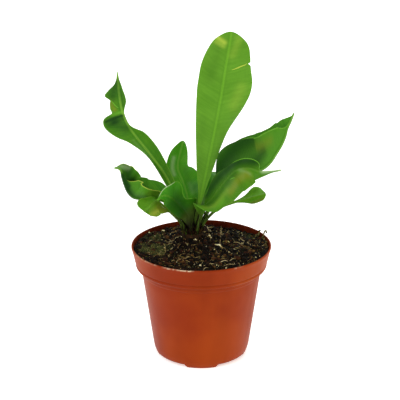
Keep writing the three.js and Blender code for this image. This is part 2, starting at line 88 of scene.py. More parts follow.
def ease(low: float, high: float, value: Array) -> Array:
    """0 below low, 1 above high, and a smooth step between."""
    share = np.clip((value - low) / (high - low), 0, 1)
    return share * share * (3 - 2 * share)


def lumps(points: Array, width: float, seed: int) -> Array:
    """Smooth random values over space.

    Args:
        points: places, as rows of x, y and z.
        width: how wide one lump is.
        seed: picks the pattern.

    Returns:
        A value from -1 to 1 for each place.
    """
    cell = np.floor(points / width).astype(np.int64)
    part = points / width - cell
    part = part * part * (3 - 2 * part)
    total = np.zeros(len(points))
    for corner in itertools.product((0, 1), repeat=3):
        key = (cell + corner) @ CELL_KEYS + seed * SEED_KEY
        key = ((key ^ (key >> 13)) * MIX_KEY) & 0x7FFFFFFF
        chance = ((key ^ (key >> 15)) % 65536) / 32767.5 - 1
        total += np.prod(np.where(corner, part, 1 - part), axis=1) * chance
    return total


def grid_faces(rows: int, columns: int) -> list[Face]:
    """Four-sided faces between rows of points, each of which closes on itself.

    Args:
        rows: number of rows.
        columns: points in a row.

    Returns:
        The four point numbers of each face.
    """
    row, column = np.mgrid[0 : rows - 1, 0:columns]
    near = row * columns + column
    far = row * columns + (column + 1) % columns
    faces = np.stack((near, far, far + columns, near + columns), -1).reshape(-1, 4)
    return [tuple(face) for face in faces.tolist()]


def bowed(ends: tuple[float, ...], count: int) -> Array:
    """A line that bows to one side.

    Args:
        ends: its foot, the place that it bends towards and its far end, one after the other.
        count: number of points.

    Returns:
        The points, as rows.
    """
    first, middle, last = np.array(ends).reshape(3, -1)
    share = np.linspace(0, 1, count)[:, None]
    return first * (1 - share) ** 2 + 2 * middle * share * (1 - share) + last * share**2


@dataclass
class Skin:
    """A mesh in the making, in millimetres.

    Attributes:
        points: its points, as rows of x, y and z.
        faces: point numbers of each face.
        values: named values, one for each point, that its material reads.
    """

    points: Array
    faces: list[Face]
    values: dict[str, Array] = field(default_factory=dict)

    @staticmethod
    def joined(skins: list["Skin"]) -> "Skin":
        """Several skins as one.

        Args:
            skins: the skins, all with the same named values.

        Returns:
            The skin that holds them all.
        """
        starts = np.cumsum([0] + [len(s.points) for s in skins])
        faces = [tuple(p + start for p in face) for s, start in zip(skins, starts) for face in s.faces]
        names = skins[0].values
        values = {name: np.concatenate([s.values[name] for s in skins]) for name in names}
        return Skin(np.concatenate([s.points for s in skins]), faces, values)

    def tinted(self, chance: float) -> "Skin":
        """The skin with the value `chance` all over, which picks its colour."""
        self.values["chance"] = np.full(len(self.points), chance)
        return self

    def make(self, name: str, material: bpy.types.Material, slot: str | None = None) -> bpy.types.Object:
        """Turns the skin into an object that rides on the body.

        Args:
            name: name of the piece.
            material: its finish.
            slot: the record's material slot that the finish belongs to; not used.

        Returns:
            The new object.
        """
        mesh = bpy.data.meshes.new(name)
        mesh.from_pydata((self.points * MM).tolist(), [], self.faces)
        mesh.polygons.foreach_set("use_smooth", np.ones(len(mesh.polygons), bool))
        for key, value in self.values.items():
            mesh.attributes.new(key, "FLOAT", "POINT").data.foreach_set("value", value.astype(np.float32))
        mesh.materials.append(material)
        piece = bpy.data.objects.new(name, mesh)
        bpy.context.scene.collection.objects.link(piece)
        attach(piece, BODY)
        log.info("made %s: %d faces", name, len(mesh.polygons))
        return piece


def copies(template: Skin, feet: Array, axes: Array, bend: Array | None = None) -> Skin:
    """Places a small shape many times.

    Args:
        template: the shape, with its foot at the origin and standing along z.
        feet: where each copy stands.
        axes: for each copy, the three vectors that its x, y and z turn into, with its size in them.
        bend: how far each copy's tip leans over, along its y.

    Returns:
        One skin of all copies, with a value `chance` that differs from copy to copy.
    """
    local = np.repeat(template.points[None], len(feet), axis=0)
    if bend is not None:
        local[:, :, 1] += bend[:, None] * local[:, :, 2] ** 2
    points = (local @ axes + feet[:, None]).reshape(-1, 3)
    size = len(template.points)
    faces = [tuple(p + copy * size for p in face) for copy in range(len(feet)) for face in template.faces]
    chance = np.random.default_rng(len(feet)).random(len(feet))
    return Skin(points, faces, {"chance": np.repeat(chance, size)})


def between(
    random: np.random.Generator,
    ends: Span,
    count: int | tuple[int, ...] | None = None,
    power: float = 1.0,
) -> Array | float:
    """Random values between two ends.

    Args:
        random: where they come from.
        ends: the two ends.
        count: how many values there are, or one if this is left out.
        power: how much closer they crowd to the first end.

    Returns:
        The values.
    """
    return ends[0] + (ends[1] - ends[0]) * random.random(count) ** power


def random_axes(random: np.random.Generator, sizes: Array) -> Array:
    """A random turn for each copy, with its three sizes.

    Args:
        random: where the turns come from.
        sizes: the size along each of a copy's own axes.

    Returns:
        A 3 by 3 matrix for each copy.
    """
    first = unit(random.normal(size=(len(sizes), 3)))
    second = unit(np.cross(first, random.normal(size=(len(sizes), 3))))
    return np.stack((first, second, np.cross(first, second)), 1) * sizes[:, :, None]


def ball(detail: int) -> Skin:
    """A round grain of radius one, made of triangles.

    Args:
        detail: how finely it is divided.

    Returns:
        The grain.
    """
    made = bmesh.new()
    bmesh.ops.create_icosphere(made, subdivisions=detail, radius=1.0)
    points = np.array([v.co[:] for v in made.verts])
    faces = [tuple(v.index for v in face.verts) for face in made.faces]
    made.free()
    return Skin(points, faces)


def lance(widths: tuple[float, ...], thickness: float) -> Skin:
    """A thin pointed blade of height one that stands along z.

    Args:
        widths: half width at even steps from the foot up, below the tip.
        thickness: half thickness at its middle.

    Returns:
        The closed blade.
    """
    points = []
    for step, width in enumerate(widths):
        height = step / len(widths)
        points += [(width, 0, height), (0, thickness, height), (-width, 0, height), (0, -thickness, height)]
    points.append((0, 0, 1))
    top = 4 * (len(widths) - 1)
    faces = grid_faces(len(widths), 4)
    faces += [(top + i, top + (i + 1) % 4, top + 4) for i in range(4)]
    return Skin(np.array(points, float), faces + [(3, 2, 1, 0)])


def tube(path: Array, radii: Array, sides: int) -> Skin:
    """A closed tube along a path.

    Args:
        path: its centre line.
        radii: its radius at each point of the path.
        sides: how many sides it has.

    Returns:
        The tube.
    """
    along = unit(np.gradient(path, axis=0))
    across = unit(np.cross(along, OFF_AXIS))
    other = np.cross(along, across)
    turn = (np.arange(sides) * math.tau / sides)[:, None]
    ring = across[:, None] * np.cos(turn) + other[:, None] * np.sin(turn)
    points = (path[:, None] + ring * radii[:, None, None]).reshape(-1, 3)
    last = len(points) - sides
    faces = grid_faces(len(path), sides)
    return Skin(points, faces + [tuple(range(sides))[::-1], tuple(range(last, last + sides))])


def turned(profile: list[Span], angles: Array) -> Skin:
    """A profile turned round the z axis.

    Args:
        profile: points of radius and height, of which the first and last lie on the axis.
        angles: the bearings of its columns, in radians.

    Returns:
        The closed skin, whose faces point away from a profile that runs from below to above.
    """
    rings = np.array(profile[1:-1])
    radius, height = rings[:, :1], np.repeat(rings[:, 1:], len(angles), axis=1)
    points = np.stack((radius * np.cos(angles), radius * np.sin(angles), height), -1).reshape(-1, 3)
    count = len(angles)
    faces = grid_faces(len(rings), count)
    low, high = len(points), len(points) + 1
    top = len(points) - count
    faces += [(low, (i + 1) % count, i) for i in range(count)]
    faces += [(high, top + i, top + (i + 1) % count) for i in range(count)]
    ends = np.array([(0, 0, profile[0][1]), (0, 0, profile[-1][1])])
    return Skin(np.vstack((points, ends)), faces)


# ------------------------------------------------------------------ wiring of finishes
class Wiring:
    """A node tree being wired, with short ways to add nodes and join them."""

    def __init__(self, tree: bpy.types.NodeTree) -> None:
        """Takes the tree that the nodes go into."""
        self.tree = tree

    def add(self, kind: str, inputs: dict | None = None, **settings: object) -> bpy.types.Node:
        """Adds a node.

        Args:
            kind: the node's type, without "ShaderNode".
            inputs: what each input socket is joined to, or its fixed value.
            settings: the node's own properties.

        Returns:
            The node.
        """
        node = self.tree.nodes.new("ShaderNode" + kind)
        for key, value in settings.items():
            setattr(node, key, value)
        for key, value in (inputs or {}).items():
            self.join(value, node.inputs[key])
        return node

    def join(self, value: object, socket: Socket) -> None:
        """Joins an output to a socket, or sets the socket to a fixed value.

        Args:
            value: the output, or the fixed value.
            socket: the input.
        """
        if isinstance(value, Socket):
            self.tree.links.new(value, socket)
        elif isinstance(value, tuple) and len(value) == 3 and socket.type == "RGBA":
            socket.default_value = (*value, 1.0)
        else:
            socket.default_value = value

    def value(self, name: str) -> Socket:
        """A named value of the mesh."""
        return self.add("Attribute", attribute_name=name).outputs["Fac"]

    def math(self, operation: str, *terms: object) -> Socket:
        """A sum, product or other operation on numbers."""
        return self.add("Math", dict(enumerate(terms)), operation=operation).outputs[0]

    def fit(self, value: Socket, low: float, high: float, first: float = 0, last: float = 1) -> Socket:
        """A value between low and high taken smoothly to between first and last.

        Args:
            value: the value.
            low: where its range starts.
            high: where its range ends.
            first: what low is taken to.
            last: what high is taken to.

        Returns:
            The new value.
        """
        ends = {"From Min": low, "From Max": high, "To Min": first, "To Max": last}
        return self.add("MapRange", {"Value": value, **ends}, interpolation_type="SMOOTHSTEP").outputs[0]

    def mix(self, share: object, low: object, high: object) -> Socket:
        """Two colours mixed.

        Args:
            share: share of the second colour.
            low: the first colour.
            high: the second colour.

        Returns:
            The mixed colour.
        """
        return self.add("Mix", {0: share, 6: low, 7: high}, data_type="RGBA").outputs[2]

    def noise(self, scale: object, detail: float = 3, stretch: Colour | None = None) -> Socket:
        """Noise over the object's own space, as values about a half.

        Args:
            scale: lumps to a metre.
            detail: how many finer layers it has.
            stretch: how much it is scaled along x, y and z.

        Returns:
            The noise.
        """
        place = self.add("TexCoord").outputs["Object"]
        if stretch:
            place = self.add("Mapping", {"Vector": place, "Scale": stretch}).outputs[0]
        return self.add("TexNoise", {"Vector": place, "Scale": scale, "Detail": detail}).outputs[0]

    def ramp(self, value: Socket, stops: list[tuple[float, Colour]]) -> Socket:
        """Colours along a value.

        Args:
            value: the value.
            stops: places along it and the colours there.

        Returns:
            The colour.
        """
        node = self.add("ValToRGB", {"Fac": value})
        ends = node.color_ramp.elements
        for element, (place, shade) in zip((ends[0], ends[1]), (stops[0], stops[-1])):
            element.position, element.color = place, (*shade, 1)
        for place, shade in stops[1:-1]:
            ends.new(place).color = (*shade, 1)
        return node.outputs[0]


class Effect:
    """A shader node group that several finishes share."""

    def __init__(self, name: str, inputs: dict[str, float], outputs: dict[str, str]) -> None:
        """Makes the group and its sockets.

        Args:
            name: name of the group.
            inputs: its number sockets and what they hold unless they are joined.
            outputs: its outputs and their kinds, Float or Color.
        """
        self.tree = bpy.data.node_groups.new(name, "ShaderNodeTree")
        for key, usual in inputs.items():
            socket = self.tree.interface.new_socket(key, in_out="INPUT", socket_type="NodeSocketFloat")
            socket.default_value = usual
        for key, kind in outputs.items():
            self.tree.interface.new_socket(key, in_out="OUTPUT", socket_type="NodeSocket" + kind)
        self.wiring = Wiring(self.tree)
        self.given = self.tree.nodes.new("NodeGroupInput").outputs
        self.result = self.tree.nodes.new("NodeGroupOutput").inputs

    def give(self, **outputs: Socket) -> None:
        """Joins what the group puts out."""
        for key, value in outputs.items():
            self.wiring.join(value, self.result[key])

    def place(self, wiring: Wiring, **inputs: object) -> bpy.types.bpy_prop_collection:
        """Puts the group into a material with values of its own.

        Args:
            wiring: the material's wiring.
            inputs: what the group's sockets hold here, with underscores for the blanks in their names.

        Returns:
            The group's outputs.
        """
        node = wiring.tree.nodes.new("ShaderNodeGroup")
        node.node_tree = self.tree
        for key, value in inputs.items():
            wiring.join(value, node.inputs[key.replace("_", " ")])
        return node.outputs


def leaf_lines() -> Effect:
    """Lines of a leaf: its midrib, its close side veins and its margin."""
    effect = Effect(
        "leaf_lines",
        {"rib width": 1.4, "margin width": 0.9, "vein gap": 1.5, "vein slope": 0.45},
        {"rib": "Float", "groove": "Float", "margin": "Float", "vein": "Float", "streak": "Float"},
    )
    w, given = effect.wiring, effect.given
    across = w.math("ABSOLUTE", w.value("across"))
    rib = w.math("SUBTRACT", 1, w.math("DIVIDE", across, given["rib width"]))
    margin = w.math("SUBTRACT", 1, w.math("DIVIDE", w.value("inset"), given["margin width"]))
    lag = w.math("MULTIPLY", across, given["vein slope"])
    drift = w.math("MULTIPLY", w.noise(90, 1), 3)
    place = w.math("ADD", w.math("SUBTRACT", w.value("along"), lag), drift)
    wave = w.math("SINE", w.math("MULTIPLY", w.math("DIVIDE", place, given["vein gap"]), math.tau))
    away = w.fit(across, 1.2, 3)
    effect.give(rib=w.fit(rib, 0, 0.7), margin=w.fit(margin, 0, 0.8))
    beside = w.math("MULTIPLY", w.fit(across, 0.9, 1.6), w.fit(across, 1.7, 3.2, 1, 0))
    slid = w.math("MULTIPLY", w.value("across"), 0.05)
    lean = w.add("CombineXYZ", {0: w.math("DIVIDE", place, 2.2), 1: slid})
    streak = w.add("TexNoise", {"Vector": lean.outputs[0], "Scale": 1.0, "Detail": 4.0})
    effect.give(groove=beside, streak=w.fit(streak.outputs[0], 0.3, 0.7))
    effect.give(vein=w.math("MULTIPLY", w.fit(wave, 0.1, 1), away))
    return effect


def mottle() -> Effect:
    """Uneven colour at two scales, and a fine grain."""
    effect = Effect(
        "mottle",
        {"patch scale": 40, "speck scale": 900},
        {"patch": "Float", "speck": "Float", "grain": "Float"},
    )
    w, given = effect.wiring, effect.given
    effect.give(
        patch=w.fit(w.noise(given["patch scale"], 3), 0.32, 0.68),
        speck=w.fit(w.noise(given["speck scale"], 2), 0.58, 0.72),
        grain=w.noise(w.math("MULTIPLY", given["speck scale"], 2), 2),
    )
    return effect


@dataclass(frozen=True)
class Effects:
    """The shared node groups."""

    lines: Effect
    mottle: Effect


@dataclass(frozen=True)
class Surface:
    """What is the same all over a finish.

    Attributes:
        sheen: roughness of the plain surface.
        gloss: strength of its reflection.
        relief: height of its grain, in metres.
    """

    sheen: float
    gloss: float
    relief: float

    def start(self, name: str) -> tuple[bpy.types.Material, Wiring, bpy.types.Node]:
        """A new material with its main shader.

        Args:
            name: name of the material.

        Returns:
            The material, its wiring and its shader.
        """
        material = bpy.data.materials.new(name)
        material.use_nodes = True
        wiring = Wiring(material.node_tree)
        shader = material.node_tree.nodes["Principled BSDF"]
        shader.inputs["Roughness"].default_value = self.sheen
        shader.inputs["Specular IOR Level"].default_value = self.gloss
        return material, wiring, shader

    def raise_grain(self, wiring: Wiring, shader: bpy.types.Node, height: Socket) -> None:
        """Lets a height ruffle the surface."""
        bump = wiring.add("Bump", {"Height": height, "Distance": self.relief})
        wiring.join(bump.outputs[0], shader.inputs["Normal"])


# ------------------------------------------------------------------ finishes
class MarkKind(Enum):
    """What a mark on a frond looks like. The dark kind is painted shade and the pale kind a painted highlight
    or sheen. The light kind is partly paler veins and margins and partly painted light. Yellow and brown are
    the fronds' own colour.
    """

    # Painted shade, where a blade lies in shadow, in a trough or by a fold.
    DARK = "dark"
    BROWN = "brown"
    # Partly paler veins and margins, partly painted light on lit parts and creases.
    LIGHT = "light"
    YELLOW = "yellow"
    # Painted highlight and sheen on glossy patches, creases and rolled margins.
    PAINTED_HIGHLIGHT = "pale"


# Colours of the marks: the dark one is painted shade, the pale one a painted highlight, and the light one
# partly painted light.
MARK_COLOURS = {
    MarkKind.DARK: colour("113a05"),
    MarkKind.BROWN: colour("7c7c1e"),
    MarkKind.LIGHT: colour("5d9a26"),
    MarkKind.YELLOW: colour("b0c246"),
    MarkKind.PAINTED_HIGHLIGHT: colour("a3bf88"),
}


@dataclass(frozen=True)
class LeafFinish:
    """The finish of a frond.

    Attributes:
        deep: darker colour of the upper face.
        light: lighter colour of the upper face.
        under: colour of the lower face.
        line: colour of midrib and margin.
        surface: what is the same all over it.
        veins: how much the side veins show.
        rib: how much the midrib shows.
        stalk: colour of the stalk, and how much it covers.
        foot: colour of the stalk's foot, and the millimetres over which it fades.
        patches: share of the upper face's change in colour that comes in patches, not in streaks.
        shade: how much the lower face differs, and how much the margin's line shows.
        relief: depth of the side veins and height of the grain.
    """

    deep: Colour
    light: Colour
    under: Colour
    line: Colour
    surface: Surface
    veins: float = 0.1
    rib: float = 0.3
    stalk: tuple[Colour, float] = (colour("3c4916"), 0.75)
    foot: tuple[Colour, float, float] = (colour("160f07"), 9, 28)
    patches: float = 0.45
    shade: Span = (0.8, 0.4)
    relief: Span = (2.0, 0.35)

    def build(self, name: str, effects: Effects) -> bpy.types.Material:
        """Wires the material.

        Args:
            name: name of the material.
            effects: the shared node groups.

        Returns:
            The material.
        """
        material, w, shader = self.surface.start(name)
        lines = effects.lines.place(w)
        spots = effects.mottle.place(w, patch_scale=55.0, speck_scale=1400.0)
        streaky = w.math("MULTIPLY", lines["streak"], 1 - self.patches)
        blend = w.math("ADD", w.math("MULTIPLY", spots["patch"], self.patches), streaky)
        shade = w.mix(blend, self.deep, self.light)
        shade = w.mix(w.math("MULTIPLY", w.value("under"), self.shade[0]), shade, self.under)
        shade = w.mix(w.math("MULTIPLY", lines["groove"], self.rib), shade, self.deep)
        shade = w.mix(w.math("MULTIPLY", lines["vein"], self.veins), shade, self.line)
        shade = w.mix(w.math("MULTIPLY", lines["rib"], self.rib), shade, self.line)
        shade = w.mix(w.math("MULTIPLY", lines["margin"], self.shade[1]), shade, self.line)
        # The marks: painted shade, painted highlights and light, and yellow and brown patches of the leaf's
        # own colour.
        for kind, tint in MARK_COLOURS.items():
            shade = w.mix(w.value(kind.value), shade, tint)
        shade = w.mix(w.math("MULTIPLY", w.value("stalk"), self.stalk[1]), shade, self.stalk[0])
        streaks = w.fit(w.noise(520, 3, (1.0, 1.0, 0.1)), 0.42, 0.6)
        dark, *fade = self.foot
        foot = w.math("MULTIPLY", w.fit(w.value("along"), *fade, 1, 0), w.math("ADD", streaks, 0.3))
        shade = w.mix(foot, shade, dark)
        w.join(shade, shader.inputs["Base Color"])
        rough = w.fit(spots["patch"], 0, 1, self.surface.sheen - 0.06, self.surface.sheen + 0.08)
        w.join(w.math("ADD", rough, w.math("MULTIPLY", foot, 0.4)), shader.inputs["Roughness"])
        height = w.math("MULTIPLY", lines["vein"], -self.relief[0] * self.veins)
        height = w.math("ADD", height, w.math("MULTIPLY", spots["grain"], self.relief[1]))
        self.surface.raise_grain(w, shader, height)
        return material


@dataclass(frozen=True)
class PotFinish:
    """Thin moulded plastic in a terracotta colour, with a worn rim and soil, and with painted light and
    shade: shade inside and on the collar's front and left, light on the collar's right, and a highlight along
    the rim.

    Attributes:
        red: the darker of its two shades.
        orange: the lighter one.
        painted_light: its colour where painted light makes the collar's right side lighter.
        worn: its colour where the rim is scuffed, which also paints a highlight along the rim.
        dust_and_shade: the colour of soil on it, which also paints shade inside the pot and on the collar's
            front and left.
        streaks: how much soil shows in faint upright streaks.
        surface: what is the same all over it.
    """

    red: Colour = colour("812804")
    orange: Colour = colour("913706")
    painted_light: Colour = colour("9c4209")
    worn: Colour = colour("e0c6a4")
    dust_and_shade: Colour = colour("260a04")
    streaks: float = 0.1
    surface: Surface = Surface(sheen=0.42, gloss=0.07, relief=0.00005)

    def build(self, effects: Effects) -> bpy.types.Material:
        """Wires the material.

        Args:
            effects: the shared node groups.

        Returns:
            The material.
        """
        material, w, shader = self.surface.start("pot_plastic")
        spots = effects.mottle.place(w, patch_scale=14.0, speck_scale=700.0)
        shade = w.mix(spots["patch"], self.red, self.orange)
        # Painted light: the collar's right side turns lighter.
        shade = w.mix(w.value("painted_light"), shade, self.painted_light)
        flow = w.fit(w.noise(60, 4, (1.0, 1.0, 0.08)), 0.4, 0.75)
        shade = w.mix(w.math("MULTIPLY", flow, self.streaks), shade, self.dust_and_shade)
        # Soil inside the pot, with painted shade there and on the collar's front and left.
        soil = w.math("MULTIPLY", w.value("soil_and_shade"), w.fit(w.noise(260, 5), 0.3, 0.6, 0.7, 1))
        shade = w.mix(soil, shade, self.dust_and_shade)
        # Cream along the rim, partly scuffs and partly a painted highlight.
        shade = w.mix(w.value("scuff_and_highlight"), shade, self.worn)
        w.join(shade, shader.inputs["Base Color"])
        rough = w.math("ADD", w.fit(flow, 0, 1, self.surface.sheen, self.surface.sheen + 0.1), soil)
        w.join(rough, shader.inputs["Roughness"])
        self.surface.raise_grain(w, shader, spots["grain"])
        return material


EARTHY = Surface(sheen=0.85, gloss=0.08, relief=0.0004)


@dataclass(frozen=True)
class EarthFinish:
    """A finish of many small bits, each with a colour of its own.

    Attributes:
        tints: the colours, from the most to the least common.
        surface: what is the same all over it.
    """

    tints: tuple[Colour, ...]
    surface: Surface = EARTHY

    @staticmethod
    def of(*codes: str, surface: Surface = EARTHY) -> "EarthFinish":
        """The finish with its colours written as hexadecimal digits."""
        return EarthFinish(tuple(colour(code) for code in codes), surface)

    def build(self, name: str, effects: Effects) -> bpy.types.Material:
        """Wires the material.

        Args:
            name: name of the material.
            effects: the shared node groups.

        Returns:
            The material.
        """
        material, w, shader = self.surface.start(name)
        spots = effects.mottle.place(w, patch_scale=260.0, speck_scale=1500.0)
        patchy = w.math("MULTIPLY", spots["patch"], 0.2)
        blend = w.math("ADD", w.math("MULTIPLY", w.value("chance"), 0.8), patchy)
        stops = [(i / (len(self.tints) - 1), tint) for i, tint in enumerate(self.tints)]
        shade = w.mix(w.math("MULTIPLY", spots["speck"], 0.25), w.ramp(blend, stops), self.tints[-1])
        w.join(shade, shader.inputs["Base Color"])
        rough = w.fit(spots["patch"], 0, 1, self.surface.sheen - 0.15, self.surface.sheen)
        w.join(rough, shader.inputs["Roughness"])
        self.surface.raise_grain(w, shader, spots["grain"])
        return material


# ------------------------------------------------------------------ pot
@dataclass
class Pot:
    """The thin nursery pot: foot ring with notches, tapered wall, deep collar and rolled rim.

    Profiles are rows of a distance out from a radius and a distance up from a height. Those of the foot
    are its inner and outer side and the heel above it, and those of the collar its ring, shoulder and bead.
    """

    height: float = 99.3
    rim_radius: float = 60.0
    collar_z: float = 80.1
    collar_radius: float = 55.85
    neck_radius: float = 51.8
    base_radius: float = 40.5
    ring_height: float = 3.5
    wall: float = 1.2
    foot_height: float = 3.6
    foot_width: float = 4.2
    notch_count: int = 4
    notch_start: float = 45.0
    notch_width: float = 35.0
    notch_height: float = 3.2
    notch_slope: float = 4.0
    drain_count: int = 8
    drain_radius: float = 4.0
    drain_circle: float = 26.0
    drain_depth: float = 11.0
    columns: int = 288
    foot_inside: Profile = ((-0.5, 3.6), (-0.2, 3.2), (0.0, 0.25), (0.3, 0.0))
    foot_outside: Profile = ((-2.4, 0.0), (-2.0, 0.2), (-1.3, 1.4), (-0.4, 3.2))
    heel: Profile = ((-0.45, 5.0), (-0.15, 7.0))
    groove: Profile = ((-0.25, -2.2), (-0.223, -0.9))
    ring: Profile = ((0.4, -3.6), (0.7, -3.2), (0.6, -0.4), (1.0, 0.0))
    shoulder: Profile = ((-1.8, 0.05), (-0.6, 0.5), (0.1, 1.1))
    bead: Profile = (
        (0.1, 1.6), (0.2, 2.2), (0.1, 2.8), (-0.2, 3.3), (-0.6, 3.7), (-0.6, 4.0),
        (-0.25, 4.3), (0.0, 5.0),
    )
    lip: Profile = (
        (-0.15, -1.9), (0.0, -1.3), (-0.02, -0.6), (-0.2, -0.2), (-0.5, 0.0), (-1.0, 0.0),
        (-1.3, -0.2), (-1.45, -0.7),
    )
    scuffs_and_highlights: tuple[Place, ...] = (
        (-58.0, 12.0, 0.3),
        (-41.0, 5.0, 0.35),
        (-27.0, 3.0, 0.8),
        (-22.5, 1.2, 0.5),
        (-14.0, 5.0, 1.0),
        (-8.5, 2.2, 0.8),
        (30.0, 3.0, 0.25),
    )
    chip: float = 0.7
    inside_dirt_and_shade: Span = (0.6, 0.3)
    collar_shade: float = 0.07
    painted_light: float = 0.6

    def wall_radius(self, z: float) -> float:
        """Outer radius of the tapered wall at a height."""
        return self.base_radius + (self.neck_radius - self.base_radius) * z / self.collar_z

    def collar_at(self, z: float) -> float:
        """Outer radius of the collar at a height."""
        share = (z - self.collar_z) / (self.height - self.collar_z)
        return self.collar_radius + (self.rim_radius - self.collar_radius) * share

    def outside(self) -> list[Span]:
        """The profile from the middle of the floor's underside up to the rim."""
        inner, low = self.base_radius - self.foot_width, self.collar_z
        neck = low - self.ring_height
        points = [(0, self.foot_height)]
        points += [(inner + out, up) for out, up in self.foot_inside]
        points += [(self.base_radius + out, up) for out, up in self.foot_outside]
        points += [(self.wall_radius(up) + out, up) for out, up in self.heel]
        points += [(self.wall_radius(z), z) for z in np.linspace(10, neck - 4, 14)]
        points += [(self.wall_radius(neck + up) + out, neck + up) for out, up in self.groove]
        points += [(self.neck_radius + out, low + up) for out, up in self.ring]
        points += [(self.collar_radius + out, low + up) for out, up in self.shoulder]
        points += [(self.collar_at(low + up) + out, low + up) for out, up in self.bead]
        points += [(self.collar_at(z), z) for z in np.linspace(low + 6, self.height - 3, 5)]
        return points

    def rim(self) -> list[Span]:
        """The rolled lip, from outside to inside."""
        return [(self.rim_radius + out, self.height + up) for out, up in self.lip]

    def inside(self) -> list[Span]:
        """The profile from the rim down to the middle of the floor."""
        shelf, floor = self.collar_z + self.wall, self.foot_height + self.wall
        collar = np.linspace(self.height - 3, shelf + 2.4, 6)
        wall = np.linspace(self.collar_z - 6, floor + 3, 8)
        points = [(self.collar_at(z) - self.wall, z) for z in collar]
        points += [(self.collar_at(shelf + 1) - self.wall - 0.2, shelf + 1)]
        points += [(self.collar_radius - 3.2, shelf)]
        points += [(self.neck_radius - self.wall + 0.3, shelf - 0.2)]
        points += [(self.neck_radius - self.wall, shelf - 1)]
        points += [(self.wall_radius(z) - self.wall, z) for z in wall]
        return points + [(self.wall_radius(floor) - self.wall - 1.5, floor), (0, floor)]

    def notch_half(self) -> float:
        """Degrees from a notch's middle to its side."""
        return math.degrees(math.asin(self.notch_width / 2 / (self.base_radius - 1.5)))

    def bearings(self) -> Array:
        """Columns all round, with close pairs at the sides of each notch."""
        half = self.notch_half()
        middles = self.notch_start - 90 + np.arange(self.notch_count) * 360 / self.notch_count
        sides = [m + s * half + d for m in middles for s in (-1, 1) for d in (-0.03, 0.03)]
        even = np.arange(self.columns) * 360 / self.columns
        kept = [a for a in even if min(abs((a - s + 180) % 360 - 180) for s in sides) > 0.3]
        return np.radians(np.sort(np.mod(kept + sides, 360)))

    def notched(self, points: Array) -> Array:
        """Lifts the foot ring where the notches are.

        Args:
            points: the pot's points.

        Returns:
            The new height of each point.
        """
        bearing = np.degrees(np.arctan2(points[:, 1], points[:, 0])) - self.notch_start + 90
        step = 360 / self.notch_count
        off = np.abs((bearing + step / 2) % step - step / 2)
        lift = self.notch_height * np.clip((self.notch_half() - off) / self.notch_slope, 0, 1)
        return np.where(np.hypot(*points.T[:2]) > 1, np.maximum(points[:, 2], lift), points[:, 2])

    def front_bearing(self, points: Array) -> Array:
        """Degrees from the front of the pot, towards the right."""
        return np.degrees(np.arctan2(points[:, 0], -points[:, 1]))

    def worn(self, skin: Skin) -> Skin:
        """Adds the pot's slight unevenness and its chipped lip, and says where soil, scuffs and painted light
        and shade colour it.

        Args:
            skin: the pot as it left its mould.

        Returns:
            The skin, with values that say where its rim is scuffed and painted with a highlight, where soil
            and painted shade darken it, and where painted light brightens the collar.
        """
        points = skin.points
        turn = np.arctan2(points[:, 1], points[:, 0])
        out = np.hypot(points[:, 0], points[:, 1])
        share = np.clip(points[:, 2] / self.height, 0, 1)
        wobble = share * (0.16 * np.sin(2 * turn + 0.7) + 0.08 * np.sin(5 * turn))
        points[:, :2] *= (1 + wobble / np.maximum(out, 1))[:, None]
        points[:, 2] = self.notched(points)
        front = self.front_bearing(points)
        on_lip = ease(self.height - 1.4, self.height - 0.3, points[:, 2])
        band = sum(depth * np.exp(-(((front - at) / half) ** 2)) for at, half, depth in self.scuffs_and_highlights)
        ragged = 0.5 + 0.5 * lumps(np.column_stack((front, out, out * 0)), 1.6, 5)
        points[:, 2] -= self.chip * on_lip * band * ragged
        # Cream along the rim: partly scuffs, partly a painted highlight.
        skin.values["scuff_and_highlight"] = np.clip(on_lip * band * (2.2 * ragged - 0.35), 0, 1)
        # Inside the collar, soil and painted shade darken the wall, more so from just below the rim
        # downwards. Outside, painted shade darkens the collar's front and left.
        inner = (points[:, 2] > self.collar_z) & (out < self.collar_at(points[:, 2]) - 0.7 * self.wall)
        inside_darkening = self.inside_dirt_and_shade[0] + self.inside_dirt_and_shade[1] * ease(self.height, self.height - 5, points[:, 2])
        collar = ease(self.collar_z - 0.5, self.collar_z + 0.5, points[:, 2])
        skin.values["soil_and_shade"] = np.where(inner, inside_darkening, self.collar_shade * collar * ease(50, 10, front))
        # Painted light makes the collar's right side lighter.
        skin.values["painted_light"] = np.where(inner, 0, self.painted_light * collar * ease(15, 55, front))
        return skin

    def build(self, effects: Effects) -> None:
        """Makes the pot and opens its drain holes.

        Args:
            effects: the shared node groups.
        """
        skin = self.worn(turned(self.outside() + self.rim() + self.inside(), self.bearings()))
        piece = skin.make("nursery_pot", PotFinish().build(effects), "pot_plastic")
        self.drain(piece)
        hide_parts("pot")

    def drain(self, piece: bpy.types.Object) -> None:
        """Cuts the drain holes through the floor.

        Args:
            piece: the pot.
        """
        made = bmesh.new()
        for hole in range(self.drain_count):
            turn = math.radians(self.notch_start - 90 + hole * 360 / self.drain_count)
            where = Vector((math.cos(turn), math.sin(turn), 0)) * self.drain_circle * MM
            where.z = self.foot_height * MM
            size = {"radius1": self.drain_radius * MM, "radius2": self.drain_radius * MM}
            new = bmesh.ops.create_cone(made, cap_ends=True, segments=28, depth=self.drain_depth * MM, **size)
            bmesh.ops.translate(made, vec=where, verts=new["verts"])
        mesh = bpy.data.meshes.new("drains")
        made.to_mesh(mesh)
        made.free()
        cutter = bpy.data.objects.new("drains", mesh)
        bpy.context.scene.collection.objects.link(cutter)
        cut = piece.modifiers.new("drains", "BOOLEAN")
        cut.operation, cut.object, cut.solver = "DIFFERENCE", cutter, "EXACT"
        apply_modifiers(piece)
        bpy.data.objects.remove(cutter)


